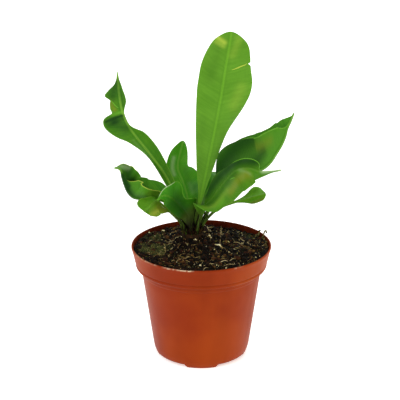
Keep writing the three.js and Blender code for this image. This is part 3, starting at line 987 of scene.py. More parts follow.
def apply_modifiers(piece: bpy.types.Object) -> None:
    """Makes a piece's modifiers part of its mesh.

    Args:
        piece: the piece.
    """
    bpy.context.view_layer.update()
    graph = bpy.context.evaluated_depsgraph_get()
    shaped = piece.evaluated_get(graph)
    mesh = bpy.data.meshes.new_from_object(shaped, preserve_all_data_layers=True, depsgraph=graph)
    piece.modifiers.clear()
    piece.data = mesh


# ------------------------------------------------------------------ soil
@dataclass
class Soil:
    """The potting mix with its crumbs, bark, fibres, perlite and moss.

    Moss grows in patches, rows of x, y, radius and strength. Roots and weeds are bows, rows of their foot,
    the place that they bend towards and their end. The roots lie flat and have a radius as well. Grains of
    perlite are rows of x, y and radius.
    """

    level: float = 94.7
    rise: float = 6.0
    heap: float = 20.0
    crown: Span = CROWN_AT
    moss: Span = (-39.45, -2.0)
    moss_radius: float = 13.0
    moss_rise: float = 1.2
    reach: float = 57.2
    rings: int = 110
    columns: int = 300
    roughness: Profile = ((0.8, 11.0), (0.8, 5.0), (0.75, 2.4), (0.4, 1.3))
    patches: tuple[tuple[float, ...], ...] = (
        (-39.95, -5.5, 13.0, 2.0),
        (-42.0, 27.0, 12.0, 1.05),
        (-20.0, 46.0, 10.0, 0.75),
        (44.0, 32.0, 12.0, 0.48),
        (52.0, -8.0, 9.0, 0.6),
    )
    crumb_size: Span = (0.35, 1.7)
    flake_length: Span = (1.0, 4.0)
    flake_width: Span = (0.18, 0.6)
    fine_size: Span = (0.25, 0.65)
    fibre_length: Span = (4.0, 14.0)
    fibre_radius: Span = (0.17, 0.07)
    root_lift: float = 1.1
    tuft_height: Span = (0.7, 1.8)
    sprout_radius: Span = (0.75, 0.6)
    crumbs: int = 3000
    flakes: int = 1150
    fibres: int = 190
    tufts: int = 3600
    fines: int = 100
    weeds: tuple[tuple[float, ...], ...] = (
        (53.4, 19.9, 94.0, 55.4, 20.4, 108.0, 57.0, 20.2, 102.4),
        (49.9, 27.6, 94.0, 50.6, 28.0, 98.4, 51.6, 28.2, 101.2),
        (48.0, 25.0, 93.5, 47.0, 24.0, 100.0, 49.8, 23.0, 98.6),
        (54.8, 16.0, 94.0, 55.0, 16.0, 100.0, 53.4, 15.0, 99.6),
        (55.4, 8.0, 94.0, 56.2, 7.0, 99.5, 56.2, 4.5, 99.4),
        (55.8, -1.0, 94.0, 56.6, -1.0, 99.0, 55.6, -3.5, 99.2),
    )
    roots: tuple[tuple[float, ...], ...] = (
        (3.1, 52.0, 6.4, 43.0, 8.6, 32.0, 0.34),
        (5.9, 44.5, 8.0, 46.5, 9.6, 47.0, 0.26),
        (17.8, 54.0, 17.6, 28.0, 15.8, 2.0, 0.2),
        (16.0, -33.5, 24.0, -29.0, 31.5, -22.0, 0.3),
        (-19.0, -25.0, -13.5, -27.5, -8.0, -37.0, 0.24),
        (-25.0, -31.0, -14.0, -22.0, -2.0, -20.5, 0.22),
        (36.0, 16.0, 42.0, 8.0, 44.0, -1.0, 0.22),
        (28.0, 12.0, 33.0, 8.0, 40.0, 12.0, 0.2),
        (-33.0, 8.0, -30.0, -2.0, -31.0, -12.0, 0.2),
        (2.0, -38.0, 9.0, -35.0, 15.0, -40.0, 0.26),
    )
    perlite: tuple[Place, ...] = (
        (12.0, 5.2, 1.3),
        (13.6, 5.6, 1.2),
        (15.3, 4.6, 1.7),
        (16.6, 3.6, 1.2),
        (-4.9, 10.0, 1.2),
        (-5.8, 9.2, 0.9),
        (7.0, 19.6, 1.2),
        (8.2, 18.8, 0.8),
        (-11.4, 3.9, 0.8),
        (-11.3, 2.7, 0.7),
        (6.3, 49.0, 1.0),
        (-34.1, 42.5, 1.2),
        (-33.0, 41.6, 0.8),
        (-46.0, 31.2, 1.0),
        (0.5, -31.6, 0.8),
        (-1.0, -37.7, 0.9),
        (12.4, -37.7, 0.8),
        (35.6, -12.0, 0.6),
        (27.6, 24.0, 0.6),
        (40.6, 12.0, 0.5),
    )

    def mound(self, x: Array, y: Array, at: Span, radius: float) -> Array:
        """1 at a place, falling to 0 over a radius."""
        return np.exp(-((x - at[0]) ** 2 + (y - at[1]) ** 2) / radius**2)

    def mossy(self, x: Array, y: Array) -> Array:
        """How mossy the surface is, from 0 to 1.

        Args:
            x: places across.
            y: places away from the front.

        Returns:
            The share of moss at each place.
        """
        grown = sum(much * self.mound(x, y, (at, up), wide) for at, up, wide, much in self.patches)
        rough = lumps(np.column_stack((x, y, 0 * x)), 5.0, 21)
        return np.clip(grown - 0.3 + 0.45 * rough, 0, 1)

    def top(self, x: Array, y: Array) -> Array:
        """Height of the surface at each place.

        Args:
            x: places across.
            y: places away from the front.

        Returns:
            The height at each place.
        """
        base = self.level + self.rise * self.mound(x, y, self.crown, self.heap)
        base = base + self.moss_rise * self.mound(x, y, self.moss, self.moss_radius)
        flat = np.column_stack((x, y, 0 * x))
        rough = sum(high * lumps(flat, wide, seed) for seed, (high, wide) in enumerate(self.roughness, 1))
        soft = 1 - 0.6 * self.mound(x, y, self.moss, self.moss_radius)
        sides = 2.1 * ease(36, 54, np.abs(x))
        return base + rough * soft + sides - 0.6 * ease(self.reach - 3, self.reach, np.hypot(x, y))

    def body(self, pot: Pot, effects: Effects) -> None:
        """The body of the mix, which fills the pot.

        Args:
            pot: the pot that it fills.
            effects: the shared node groups.
        """
        gap = pot.wall + 0.3
        floor = pot.foot_height + gap
        shelf = pot.collar_z + gap
        side = [(0, floor), (pot.wall_radius(floor) - gap - 2.2, floor)]
        side += [(pot.wall_radius(z) - gap, z) for z in (floor + 3, 30.0, 55.0, shelf - 1.6)]
        side += [(pot.neck_radius - gap, shelf), (pot.collar_radius - gap - 2.4, shelf + 0.2)]
        side += [(pot.collar_at(shelf + 1) - gap - 0.4, shelf + 1.6), (self.reach, self.level - 2.4)]
        inward = [(self.reach * share, self.level) for share in np.linspace(1, 0, self.rings + 1)]
        angles = np.arange(self.columns) * math.tau / self.columns
        skin = turned(side + inward, angles)
        x, y, z = skin.points.T
        skin.points[:, 2] = np.where(z > self.level - 0.01, self.top(x, y), z)
        spread = 0.5 + 0.5 * lumps(skin.points, 3.2, 8)
        skin.values["chance"] = np.clip(0.55 * spread + 0.25 * lumps(skin.points, 1.1, 9), 0, 1)
        skin.values["mossy"] = self.mossy(x, y)
        piece = skin.make("soil_body", self.body_finish(effects), "potting_mix")
        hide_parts("soil")

    def body_finish(self, effects: Effects) -> bpy.types.Material:
        """Peat, olive where moss grows on it.

        Args:
            effects: the shared node groups.

        Returns:
            The material.
        """
        material = EarthFinish.of("040302", "090604", "120c07", "20150b").build("potting_mix", effects)
        w = Wiring(material.node_tree)
        shader = material.node_tree.nodes["Principled BSDF"]
        plain = shader.inputs["Base Color"].links[0].from_socket
        green = w.ramp(w.noise(700, 3), [(0.3, colour("191c09")), (0.7, colour("3b4119"))])
        w.join(w.mix(w.value("mossy"), plain, green), shader.inputs["Base Color"])
        return material

    def places(self, random: np.random.Generator, count: int, spread: float) -> Array:
        """Random places on the surface, as rows of x, y and z.

        Args:
            random: where they come from.
            count: how many there are.
            spread: how far out they lie.

        Returns:
            The places.
        """
        turn = random.random(count) * math.tau
        out = spread * np.sqrt(random.random(count))
        x, y = out * np.cos(turn), out * np.sin(turn)
        return np.column_stack((x, y, self.top(x, y)))

    def grains(self, effects: Effects) -> None:
        """Crumbs and chips of bark on the surface.

        Args:
            effects: the shared node groups.
        """
        random = np.random.default_rng(11)
        feet = self.places(random, self.crumbs, self.reach - 1.6)
        bare = self.mossy(feet[:, 0], feet[:, 1]) < random.random(self.crumbs) * 1.2
        feet = feet[bare]
        size = between(random, self.crumb_size, len(feet), 3.5)
        shape = size[:, None] * between(random, (0.6, 1.9), (len(feet), 3))
        feet[:, 2] += 0.1 * size
        skin = copies(ball(1), feet, random_axes(random, shape))
        for axis in range(3):
            skin.points[:, axis] += 0.24 * lumps(skin.points, 0.8, 12 + axis)
        finish = EarthFinish.of("020201", "050302", "080402", "0d0704", "1b0e07", "3a1c0d", "705628")
        skin.make("soil_crumbs", finish.build("crumb_mix", effects), "potting_mix")

    def flake_litter(self, effects: Effects) -> None:
        """Short bits of bark, root and dry leaf, most of them dark and some bright.

        Args:
            effects: the shared node groups.
        """
        random = np.random.default_rng(13)
        feet = self.places(random, self.flakes, self.reach - 2.2)
        turn = random.random(self.flakes) * math.tau
        rise = between(random, (0.1, 0.6), self.flakes, 2)
        up = unit(np.column_stack((np.cos(turn), np.sin(turn), rise)))
        side = unit(np.cross(up, random.normal(size=(self.flakes, 3))))
        long = between(random, self.flake_length, self.flakes, 2)
        wide = between(random, self.flake_width, self.flakes, 2)
        axes = np.stack((side * wide[:, None], np.cross(up, side) * 0.12, up * long[:, None]), 1)
        feet[:, 2] += 0.2
        skin = copies(lance((0.7, 1.0, 0.9, 0.5), 0.8), feet, axes, 0.5 * random.random(self.flakes))
        finish = EarthFinish.of("060301", "0e0703", "1e1006", "43290e", "6b6420", "b8a667", "e8dba6")
        skin.make("soil_flakes", finish.build("flake_mix", effects))

    def perlite_grains(self, effects: Effects) -> None:
        """White and cream grains of perlite.

        Args:
            effects: the shared node groups.
        """
        random = np.random.default_rng(5)
        spots = np.array(self.perlite)
        fine = self.places(random, self.fines, self.reach - 3)
        fine[:, 2] = between(random, self.fine_size, self.fines, 2)
        spots = np.vstack((spots, fine))
        feet = np.column_stack((spots[:, :2], self.top(spots[:, 0], spots[:, 1]) + 0.35 * spots[:, 2]))
        shape = spots[:, 2:] * between(random, (0.75, 1.15), (len(spots), 3))
        skin = copies(ball(3), feet, random_axes(random, shape))
        for axis in range(3):
            skin.points[:, axis] += 0.3 * lumps(skin.points, 0.9, 6 + axis)
        finish = EarthFinish.of("f1e8c4", "e2d39b", "c9bb7c")
        skin.make("perlite", finish.build("perlite", effects))

    def strands(self, effects: Effects) -> None:
        """Root and peat fibres that lie on the mix.

        Args:
            effects: the shared node groups.
        """
        random = np.random.default_rng(17)
        made = []
        step = np.linspace(-0.5, 0.5, 9)
        for foot in self.places(random, self.fibres, self.reach - 7):
            length = between(random, self.fibre_length, power=1.5)
            turn = random.random() * math.tau
            curl = random.normal() * 0.25
            along = np.array((math.cos(turn), math.sin(turn)))
            across = np.array((-along[1], along[0]))
            bow = np.outer((step**2 - 0.1) * length * curl * 4, across)
            flat = foot[:2] + np.outer(step * length, along) + bow
            out = np.hypot(flat[:, 0], flat[:, 1])
            flat *= np.minimum(1, (self.reach - 1) / np.maximum(out, 1))[:, None]
            height = self.top(flat[:, 0], flat[:, 1]) + 0.35 + (0.25 - step**2) * 2.6 * random.random()
            radii = np.interp(np.abs(step), (0, 0.5), self.fibre_radius) * between(random, (0.6, 1.4))
            strand = tube(np.column_stack((flat, height)), radii, 4)
            made.append(strand.tinted(random.random()))
        for *ends, radius in self.roots:
            flat = bowed(ends, 25)
            height = self.top(flat[:, 0], flat[:, 1]) + self.root_lift
            root = tube(np.column_stack((flat, height)), radius * np.linspace(1, 0.5, 25), 6)
            made.append(root.tinted(between(random, (0.75, 1.0))))
        finish = EarthFinish.of("1d1209", "42290f", "7d5c2d", "b59a60", "e2d6a8")
        Skin.joined(made).make("fibres", finish.build("fibre", effects))

    def moss_tufts(self, effects: Effects) -> None:
        """Short moss, close in its patches, with a few stray tufts between them.

        Args:
            effects: the shared node groups.
        """
        random = np.random.default_rng(23)
        feet = self.places(random, self.tufts * 6, self.reach - 1.2)
        green = self.mossy(feet[:, 0], feet[:, 1]) + 0.2 * (random.random(len(feet)) < 0.12)
        feet = feet[green > 0.15 + 0.85 * random.random(len(feet))][: self.tufts]
        count = len(feet)
        up = unit(np.column_stack((random.normal(size=(count, 2)) * 0.55, np.ones(count))))
        side = unit(np.cross(up, random.normal(size=(count, 3))))
        tall = between(random, self.tuft_height, count)
        axes = np.stack((side * 0.3, np.cross(up, side) * 0.3, up * tall[:, None]), 1)
        feet[:, 2] -= 0.15
        skin = copies(lance((0.5, 1.0, 0.6), 0.5), feet, axes, 1.4 * random.random(count))
        soft = Surface(sheen=0.8, gloss=0.2, relief=0.0002)
        finish = EarthFinish.of("171b07", "2b3111", "3b4118", "565a29", "868648", surface=soft)
        skin.make("moss", finish.build("moss", effects))

    def sprouts(self, effects: Effects) -> None:
        """Small weeds that curl up inside the rim at the right.

        Args:
            effects: the shared node groups.
        """
        random = np.random.default_rng(29)
        made = []
        for weed in self.weeds:
            path = bowed(weed, 13)
            stem = tube(path, np.linspace(*self.sprout_radius, 13), 6)
            made.append(stem.tinted(between(random, (0.55, 1.0))))
            for place in path[10:]:
                axes = random_axes(random, np.array([(1.0, 0.8, 1.1)])) * between(random, (0.7, 1.2))
                head = Skin(ball(1).points @ axes[0] + place + 0.2 * random.normal(size=3), ball(1).faces)
                made.append(head.tinted(0.3 * random.random()))
        finish = EarthFinish.of("1d1c0d", "3a3518", "6a5f30", "978a58", "c2b387")
        Skin.joined(made).make("sprouts", finish.build("sprout", effects))

    def build(self, pot: Pot, effects: Effects) -> None:
        """Makes the mix and all that lies on it.

        Args:
            pot: the pot that it fills.
            effects: the shared node groups.
        """
        self.body(pot, effects)
        self.grains(effects)
        self.flake_litter(effects)
        self.perlite_grains(effects)
        self.strands(effects)
        self.moss_tufts(effects)
        self.sprouts(effects)


# ------------------------------------------------------------------ crown
@dataclass
class Crown:
    """The short scaly rootstock that the fronds grow from.

    Its outline is rows of a share of its radius and a height, below from its foot and above from its top.
    """

    at: Span = CROWN_AT
    radius: float = 9.2
    top_z: float = 106.2
    foot_z: float = 84.7
    below: Profile = ((0.0, 0.0), (0.55, 0.0), (0.9, 5.0), (1.0, 11.0))
    above: Profile = (
        (1.0, -6.0), (0.97, -4.4), (0.9, -2.8), (0.8, -1.7), (0.66, -0.9), (0.4, -0.3),
        (0.0, 0.0),
    )
    scale_length: Span = (2.2, 6.4)
    scale_width: Span = (0.35, 0.7)
    stub_bearing: Span = (15.0, 200.0)
    stub_height: Span = (9.0, 22.0)
    stub_radius: Span = (1.1, 0.45)
    scales: int = 420
    stalk_scales: int = 14
    stubs: int = 42

    def outline(self) -> list[Span]:
        """Its profile, from below to above."""
        low = [(share * self.radius, self.foot_z + up) for share, up in self.below]
        return low + [(share * self.radius, self.top_z + up) for share, up in self.above]

    def body(self, effects: Effects) -> None:
        """The stem itself, knobbly with old stalk ends.

        Args:
            effects: the shared node groups.
        """
        skin = turned(self.outline(), np.arange(96) * math.tau / 96)
        swell = 1 + 0.05 * lumps(skin.points, 2.6, 31)
        skin.points[:, :2] *= swell[:, None]
        skin.points[:, :2] += self.at
        skin.values["chance"] = 0.5 + 0.5 * lumps(skin.points, 1.6, 33)
        finish = EarthFinish.of("0d0805", "1d130a", "33210f", "4b3217")
        piece = skin.make("crown_stem", finish.build("crown_scales", effects), "crown_scales")
        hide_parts("crown")

    def scale_blades(self, fronds: tuple["Frond", ...], effects: Effects) -> None:
        """Papery scales on the stem and up the lowest part of each stalk.

        Args:
            fronds: the fronds whose stalks they grow on.
            effects: the shared node groups.
        """
        random = np.random.default_rng(37)
        turn = random.random(self.scales) * math.tau
        out = self.radius * between(random, (0.35, 1.03), self.scales, 0.6)
        fall = np.clip(out / self.radius - 0.45, 0, 1) ** 1.5
        z = self.top_z - 0.8 - 5.5 * fall * random.random(self.scales)
        outward = np.column_stack((np.cos(turn), np.sin(turn), np.zeros(self.scales)))
        feet = np.column_stack((self.at[0] + out * outward[:, 0], self.at[1] + out * outward[:, 1], z))
        lean = between(random, (0.25, 1.0), self.scales)
        for frond in fronds:
            stalk = frond.line(np.linspace(0.03, 0.12, self.stalk_scales))
            spin = unit(random.normal(size=(self.stalk_scales, 3)) * (1, 1, 0.1))
            feet = np.vstack((feet, stalk + 1.0 * spin))
            outward = np.vstack((outward, spin))
            lean = np.concatenate((lean, between(random, (0.15, 0.45), self.stalk_scales)))
        count = len(feet)
        up = unit(outward * lean[:, None] + (0, 0, 1.0) + 0.15 * random.normal(size=(count, 3)))
        side = unit(np.cross(outward, up))
        long = between(random, self.scale_length, count, 1.4)
        wide = between(random, self.scale_width, count)
        axes = np.stack((side * wide[:, None], np.cross(up, side) * 0.14, up * long[:, None]), 1)
        skin = copies(lance((0.8, 1.0, 0.8, 0.4), 0.7), feet, axes, 4 * random.random(count))
        finish = EarthFinish.of("0b0705", "1a1009", "2f1c0d", "5a3c1c")
        skin.make("crown_scales", finish.build("papery_scales", effects), "crown_scales")

    def old_stalks(self, effects: Effects) -> None:
        """Ends of old stalks that stand between the living ones.

        Args:
            effects: the shared node groups.
        """
        random = np.random.default_rng(43)
        made = []
        for _ in range(self.stubs):
            turn = math.radians(between(random, self.stub_bearing))
            out = self.radius * between(random, (0.2, 0.8))
            away = np.array((math.cos(turn), math.sin(turn), 0.0))
            foot = np.array((*self.at, self.top_z - 3)) + out * away
            tall = between(random, self.stub_height)
            step = np.linspace(0, 1, 8)[:, None]
            lean = away * between(random, (0.1, 0.35)) + 0.06 * random.normal(size=3)
            path = foot + step * tall * ((0, 0, 1) + lean * (0.4 + step))
            part = tube(path, np.linspace(*self.stub_radius, 8) * between(random, (0.7, 1.1)), 6)
            made.append(part.tinted(random.random()))
        finish = EarthFinish.of("0a0b04", "15160a", "232711", "333a16")
        Skin.joined(made).make("old_stalks", finish.build("old_stalk", effects), "crown_scales")

    def build(self, fronds: tuple["Frond", ...], effects: Effects) -> None:
        """Makes the stem, its old stalks and its scales.

        Args:
            fronds: the fronds that grow from it.
            effects: the shared node groups.
        """
        self.body(effects)
        self.old_stalks(effects)
        self.scale_blades(fronds, effects)


# ------------------------------------------------------------------ fronds
@dataclass(frozen=True)
class Mark:
    """A soft mark on the blade, along a line in the flattened frond. Its kind says what it is: a patch of the
    frond's own colour, painted shade, or a painted highlight.

    Attributes:
        kind: what it looks like.
        start: one end, as millimetres along the midrib and across it, left being positive.
        end: the other end.
        width: how far it fades out.
        strength: how much it covers.
    """

    kind: MarkKind
    start: Span
    end: Span
    width: float
    strength: float = 1.0

    def cover(self, along: Array, across: Array) -> Array:
        """How much it covers at places given along and across the frond.

        Args:
            along: millimetres along the midrib.
            across: millimetres across it, left being positive.

        Returns:
            From 0 to its strength, for each place.
        """
        line = np.subtract(self.end, self.start)
        place = np.stack((along - self.start[0], across - self.start[1]), -1)
        share = np.clip(place @ line / max(line @ line, 1e-6), 0, 1)
        away = np.linalg.norm(place - share[..., None] * line, axis=-1)
        return self.strength * np.exp(-((away / self.width) ** 2))


@dataclass(frozen=True)
class Notch:
    """A small cut in the margin.

    Attributes:
        side: 1 for the left margin, -1 for the right.
        share: where it is, as a share of the length.
        depth: how deep it goes.
        width: share of the length that it takes.
    """

    side: int
    share: float
    depth: float
    width: float


@dataclass(frozen=True)
class Ridge:
    """A slender raised line on the blade: a rolled margin, a crease or a vein.

    Attributes:
        kind: its colour. A pale ridge is a painted highlight along a crease or rolled margin. A light one is
            a paler vein or margin, in places with painted light.
        places: points that it runs through, each a share of the length and a share of the way from
            the midrib to the margin, left being positive.
        radius: its half width.
    """

    kind: MarkKind
    places: Profile
    radius: float

    def skin(self, frond: "Frond") -> Skin:
        """The line on a frond, with all the values that the frond's skin has.

        Args:
            frond: the frond that it lies on.

        Returns:
            The line as a skin.
        """
        places = np.array(self.places)
        stations = np.linspace(0, len(places) - 1, 14 * len(places))
        shares, parts = (smooth_between(column, stations) for column in places.T)
        path = frond.surface(shares, np.clip(parts, -1, 1))
        taper = np.sin(np.linspace(0.12, math.pi - 0.12, len(path))) ** 0.5
        made = tube(path, self.radius * taper, 6)
        count = len(made.points)
        values = {key: np.zeros(count) for key in ("under", "stalk", *(kind.value for kind in MarkKind))}
        values |= {key: np.full(count, far) for key, far in RIDGE_PLACE.items()}
        values[self.kind.value] = np.full(count, RIDGE_COVER)
        return Skin(made.points, made.faces, values)


# A ridge counts as far from midrib, margin and foot, so that it takes none of their colours.
RIDGE_PLACE = {"across": 9.0, "inset": 9.0, "along": 90.0}
RIDGE_COVER = 0.85
BLADE = 0.7
RIDGE_WIDTH = 1.6
RIDGE_RISE = 0.3
KEEL = (1.7, 0.5)
TIP_REACH = 0.45
RIPPLE_REACH = 6.0
ROWS = 130
TIP_ROWS = 22
TIP_START = 0.88
NOTCH_ROWS = (-1.5, -1, -0.6, -0.3, 0, 0.3, 0.6, 1, 1.5)
PARTS = np.array(
    (0, 0.02, 0.045, 0.075, 0.11, 0.17, 0.25, 0.35, 0.46, 0.57, 0.68, 0.78, 0.87, 0.94, 0.98, 1.0)
)
FOOT_Z = 98.7
STALK = 1.6


def smooth_between(values: Array, stations: Array) -> Array:
    """Values on a smooth curve through a list's entries.

    Args:
        values: the entries.
        stations: places in the list, which may lie between two entries.

    Returns:
        The value at each station.
    """
    last = len(values) - 1
    start = np.minimum(np.floor(stations).astype(int), last - 1)
    part = stations - start
    a, b, c, d = (values[np.clip(start + k, 0, last)] for k in (-1, 0, 1, 2))
    bend = (2 * a - 5 * b + 4 * c - d) * part**2 + (3 * b - a - 3 * c + d) * part**3
    return 0.5 * (2 * b + (c - a) * part + bend)


def curve_through(path: Array, shares: Array) -> Array:
    """Points on a rounded curve through a path.

    Args:
        path: the points that it goes through.
        shares: shares of the way along it, the path's points being evenly spread.

    Returns:
        The point at each share.
    """
    last = len(path) - 1
    padded = np.vstack((2 * path[0] - path[1], path, 2 * path[-1] - path[-2]))
    start = np.clip(np.floor(shares * last).astype(int), 0, last - 1)
    part = (shares * last - start)[:, None]
    p0, p1, p2, p3 = (padded[start + k] for k in range(4))
    d0, d1, d2 = (np.sqrt(np.linalg.norm(q - p, axis=1))[:, None] for p, q in ((p0, p1), (p1, p2), (p2, p3)))
    t1 = ((p1 - p0) / d0 - (p2 - p0) / (d0 + d1) + (p2 - p1) / d1) * d1
    t2 = ((p2 - p1) / d1 - (p3 - p1) / (d1 + d2) + (p3 - p2) / d2) * d1
    return p1 + t1 * part + (3 * (p2 - p1) - 2 * t1 - t2) * part**2 + (2 * (p1 - p2) + t1 + t2) * part**3


@dataclass(frozen=True)
class Frond:
    """One strap-shaped frond, stalk and blade in one piece.

    Attributes:
        node: the solid that it stands for.
        slot: the record's slot of its finish.
        finish: its finish.
        heading: the bearing that it leans towards, which tells its left from its right.
        blunt: share of its length that rounds off the tip.
        wave: height, count and phase of the ripples in its margins.
        path: stations on its midrib: x, y, z, left reach, left tilt, right reach, right tilt, cup, and
            sweep, the degrees that its side veins lean towards the tip.
        marks: its marks.
        notches: its notches.
        ridges: its ridges.
        stalk: millimetres of its length that are coloured as a stalk.
    """

    node: str
    slot: str
    finish: LeafFinish
    heading: float
    blunt: float
    wave: tuple[float, float, float]
    path: tuple[tuple[float, ...], ...]
    marks: tuple[Mark, ...] = ()
    notches: tuple[Notch, ...] = ()
    ridges: tuple[Ridge, ...] = ()
    stalk: float = 24.0

    def shares(self) -> Array:
        """Shares of the length at which its rows stand, closer at the tip and at notches."""
        even = np.linspace(0, TIP_START, ROWS, endpoint=False)
        tip = TIP_START + (1 - TIP_START) * np.sin(np.linspace(0, math.pi / 2, TIP_ROWS))
        extra = [notch.share + notch.width * k for notch in self.notches for k in NOTCH_ROWS]
        return np.unique(np.round(np.concatenate((even, tip, extra)), 5))

    def line(self, shares: Array) -> Array:
        """Points on the midrib."""
        return curve_through(np.array(self.path)[:, :3], shares)

    def half(self, shares: Array, side: int) -> tuple[Array, Array, Array]:
        """One half of the blade, seen from its midrib.

        Args:
            shares: where its rows stand.
            side: 1 for the left half, -1 for the right.

        Returns:
            For each row its reach, the way out along it, and its upward normal.
        """
        rows = np.array(self.path)
        stations = shares * (len(rows) - 1)
        column = 3 if side > 0 else 5
        reach = np.maximum(smooth_between(rows[:, column], stations), rows[:, column].min())
        tilt = np.radians(smooth_between(rows[:, column + 1], stations))[:, None]
        rest = np.clip((shares - 1 + self.blunt) / self.blunt, 0, 1)
        reach = reach * np.sqrt(1 - rest**2)
        for notch in self.notches:
            if notch.side == side:
                reach = reach - notch.depth * np.exp(-(((shares - notch.share) / notch.width) ** 2))
        reach = np.maximum(reach, TIP_REACH)
        along, left, up = self.directions(shares)
        out = side * np.cos(tilt) * left + np.sin(tilt) * up
        sweep = np.radians(smooth_between(rows[:, 8], stations))[:, None]
        normal = np.cos(tilt) * up - side * np.sin(tilt) * left
        return reach, np.cos(sweep) * out + np.sin(sweep) * along, normal

    def directions(self, shares: Array) -> tuple[Array, Array, Array]:
        """The midrib's own direction, and the left and upward ones from it.

        Args:
            shares: shares of the length.

        Returns:
            The three directions at each share.
        """
        step = 1e-4
        along = unit(self.line(np.minimum(shares + step, 1)) - self.line(np.maximum(shares - step, 0)))
        angle = math.radians(self.heading)
        left = np.array((-math.sin(angle), math.cos(angle), 0.0))
        left = unit(left - (along @ left)[:, None] * along)
        return along, left, np.cross(along, left)

    def face_points(self, shares: Array, side: int) -> dict[str, Array]:
        """Upper and lower points of one half of the blade, and the values that go with them.

        Args:
            shares: where its rows stand.
            side: 1 for the left half, -1 for the right.

        Returns:
            Arrays with a row for each share and a column for each of PARTS.
        """
        reach, out, normal = self.half(shares, side)
        stations = shares * (len(self.path) - 1)
        cup = np.radians(smooth_between(np.array(self.path)[:, 7], stations))[:, None]
        cup = np.where(np.abs(cup) < 1e-3, 1e-3, cup)
        part, reach = PARTS[None], reach[:, None]
        arc = cup * (2 * part - 1)
        spread = (np.sin(arc) + np.sin(cup)) / (2 * np.sin(cup))
        sag = (np.cos(cup) - np.cos(arc)) / (2 * np.sin(cup))
        height, count, phase = self.wave
        swing = np.sin(math.tau * count * shares + phase + side)[:, None]
        ripple = height * reach / (reach + RIPPLE_REACH) * part**2 * swing
        middle = self.line(shares)[:, None] + out[:, None] * (spread * reach)[..., None]
        middle = middle + normal[:, None] * (sag * reach + ripple)[..., None]
        uneven = lumps(middle.reshape(-1, 3), 9.0, 41) * 0.3 + lumps(middle.reshape(-1, 3), 4.0, 42) * 0.12
        fade = np.clip(part * reach / 6, 0, 1)
        middle = middle + normal[:, None] * (uneven.reshape(fade.shape) * fade)[..., None]
        near = np.maximum(1 - (part * reach / RIDGE_WIDTH) ** 2, 0)
        thin = BLADE / 2 * (1 - 0.55 * ease(0.7, 1.0, part))
        keel = (KEEL[0] + (KEEL[1] - KEEL[0]) * shares)[:, None] * near
        lift = np.where(part[..., None] > 0, normal[:, None], self.directions(shares)[2][:, None])
        return {
            "upper": middle + lift * (thin + RIDGE_RISE * near)[..., None],
            "lower": middle - lift * (thin + keel)[..., None],
            "across": side * part * reach,
            "inset": (1 - part) * reach,
        }

    def surface(self, shares: Array, parts: Array) -> Array:
        """Points in the middle of the blade.

        Args:
            shares: shares of the length.
            parts: shares of the way from the midrib to the margin, left being positive.

        Returns:
            The point at each pair of the two.
        """
        halves = {side: self.face_points(shares, side) for side in (1, -1)}
        points = []
        for row, part in enumerate(parts):
            both = halves[1 if part >= 0 else -1]
            middle = (both["upper"][row] + both["lower"][row]) / 2
            points.append([np.interp(abs(part), PARTS, column) for column in middle.T])
        return np.array(points)

    def skin(self) -> Skin:
        """The whole blade as one closed skin."""
        shares = self.shares()
        left, right = self.face_points(shares, 1), self.face_points(shares, -1)
        whole = {key: np.concatenate((left[key][:, ::-1], right[key][:, 1:]), axis=1) for key in left}
        count, columns = whole["across"].shape
        points = np.concatenate((whole["upper"], whole["lower"][:, ::-1]), axis=1)
        size = 2 * columns
        faces = grid_faces(count, size)
        end = (count - 1) * size
        for i in range(columns - 1):
            k = size - 1 - i
            faces += [(i, k, k - 1, i + 1), (end + i, end + i + 1, end + k - 1, end + k)]
        steps = np.linalg.norm(np.diff(self.line(shares), axis=0), axis=1)
        along = np.repeat(np.concatenate(([0], np.cumsum(steps)))[:, None], columns, axis=1)
        values = {"across": whole["across"], "inset": whole["inset"], "along": along}
        values["stalk"] = ease(self.stalk + 10, self.stalk, along)
        for kind in MarkKind:
            marks = [m.cover(along, whole["across"]) for m in self.marks if m.kind is kind]
            values[kind.value] = np.clip(sum(marks, np.zeros_like(along)), 0, 1)
        values = {key: np.concatenate((v, v[:, ::-1]), axis=1).ravel() for key, v in values.items()}
        under = np.zeros((count, size))
        under[:, columns:] = 1
        return Skin(points.reshape(-1, 3), faces, {**values, "under": under.ravel()})

    def build(self, effects: Effects) -> None:
        """Makes the frond with its own finish.

        Args:
            effects: the shared node groups.
        """
        name = self.node.replace("frond_", "") + "_frond"
        whole = Skin.joined([self.skin(), *(ridge.skin(self) for ridge in self.ridges)])
        piece = whole.make(name, self.finish.build(name, effects), self.slot)
        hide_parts(self.node)


WAXY = Surface(sheen=0.42, gloss=0.09, relief=0.0001)
YOUNG = LeafFinish(colour("4c7f1a"), colour("5a8e23"), colour("648f2c"), colour("66a024"), WAXY, 0.04, 0.45)
FRESH = LeafFinish(colour("30690c"), colour("44780f"), colour("527f26"), colour("7aa838"), WAXY, 0.08, 0.5)
# Painted light: a lighter copy of the fresh green, so that the spoon frond looks brightly lit.
BRIGHT = LeafFinish(colour("5a9c15"), colour("6cab20"), colour("5a8c2c"), colour("8ab24a"), WAXY)
LUSH = LeafFinish(colour("37840e"), colour("4a9114"), colour("4a8418"), colour("82a848"), WAXY)
GROWN = LeafFinish(colour("2e6f0d"), colour("458414"), colour("417a14"), colour("78a040"), WAXY)
DARK = LeafFinish(colour("2b740b"), colour("3e8510"), colour("447c18"), colour("6b9a30"), WAXY)
OLIVE = LeafFinish(colour("3b730d"), colour("497d11"), colour("447c18"), colour("78a040"), WAXY, 0.08, 0.2)
# Painted light: a lighter copy of the olive green, for the low left frond whose right half lies in shade.
SUNNY = LeafFinish(colour("437a10"), colour("588c17"), colour("447c18"), colour("86a848"), WAXY, 0.08, 0.2)

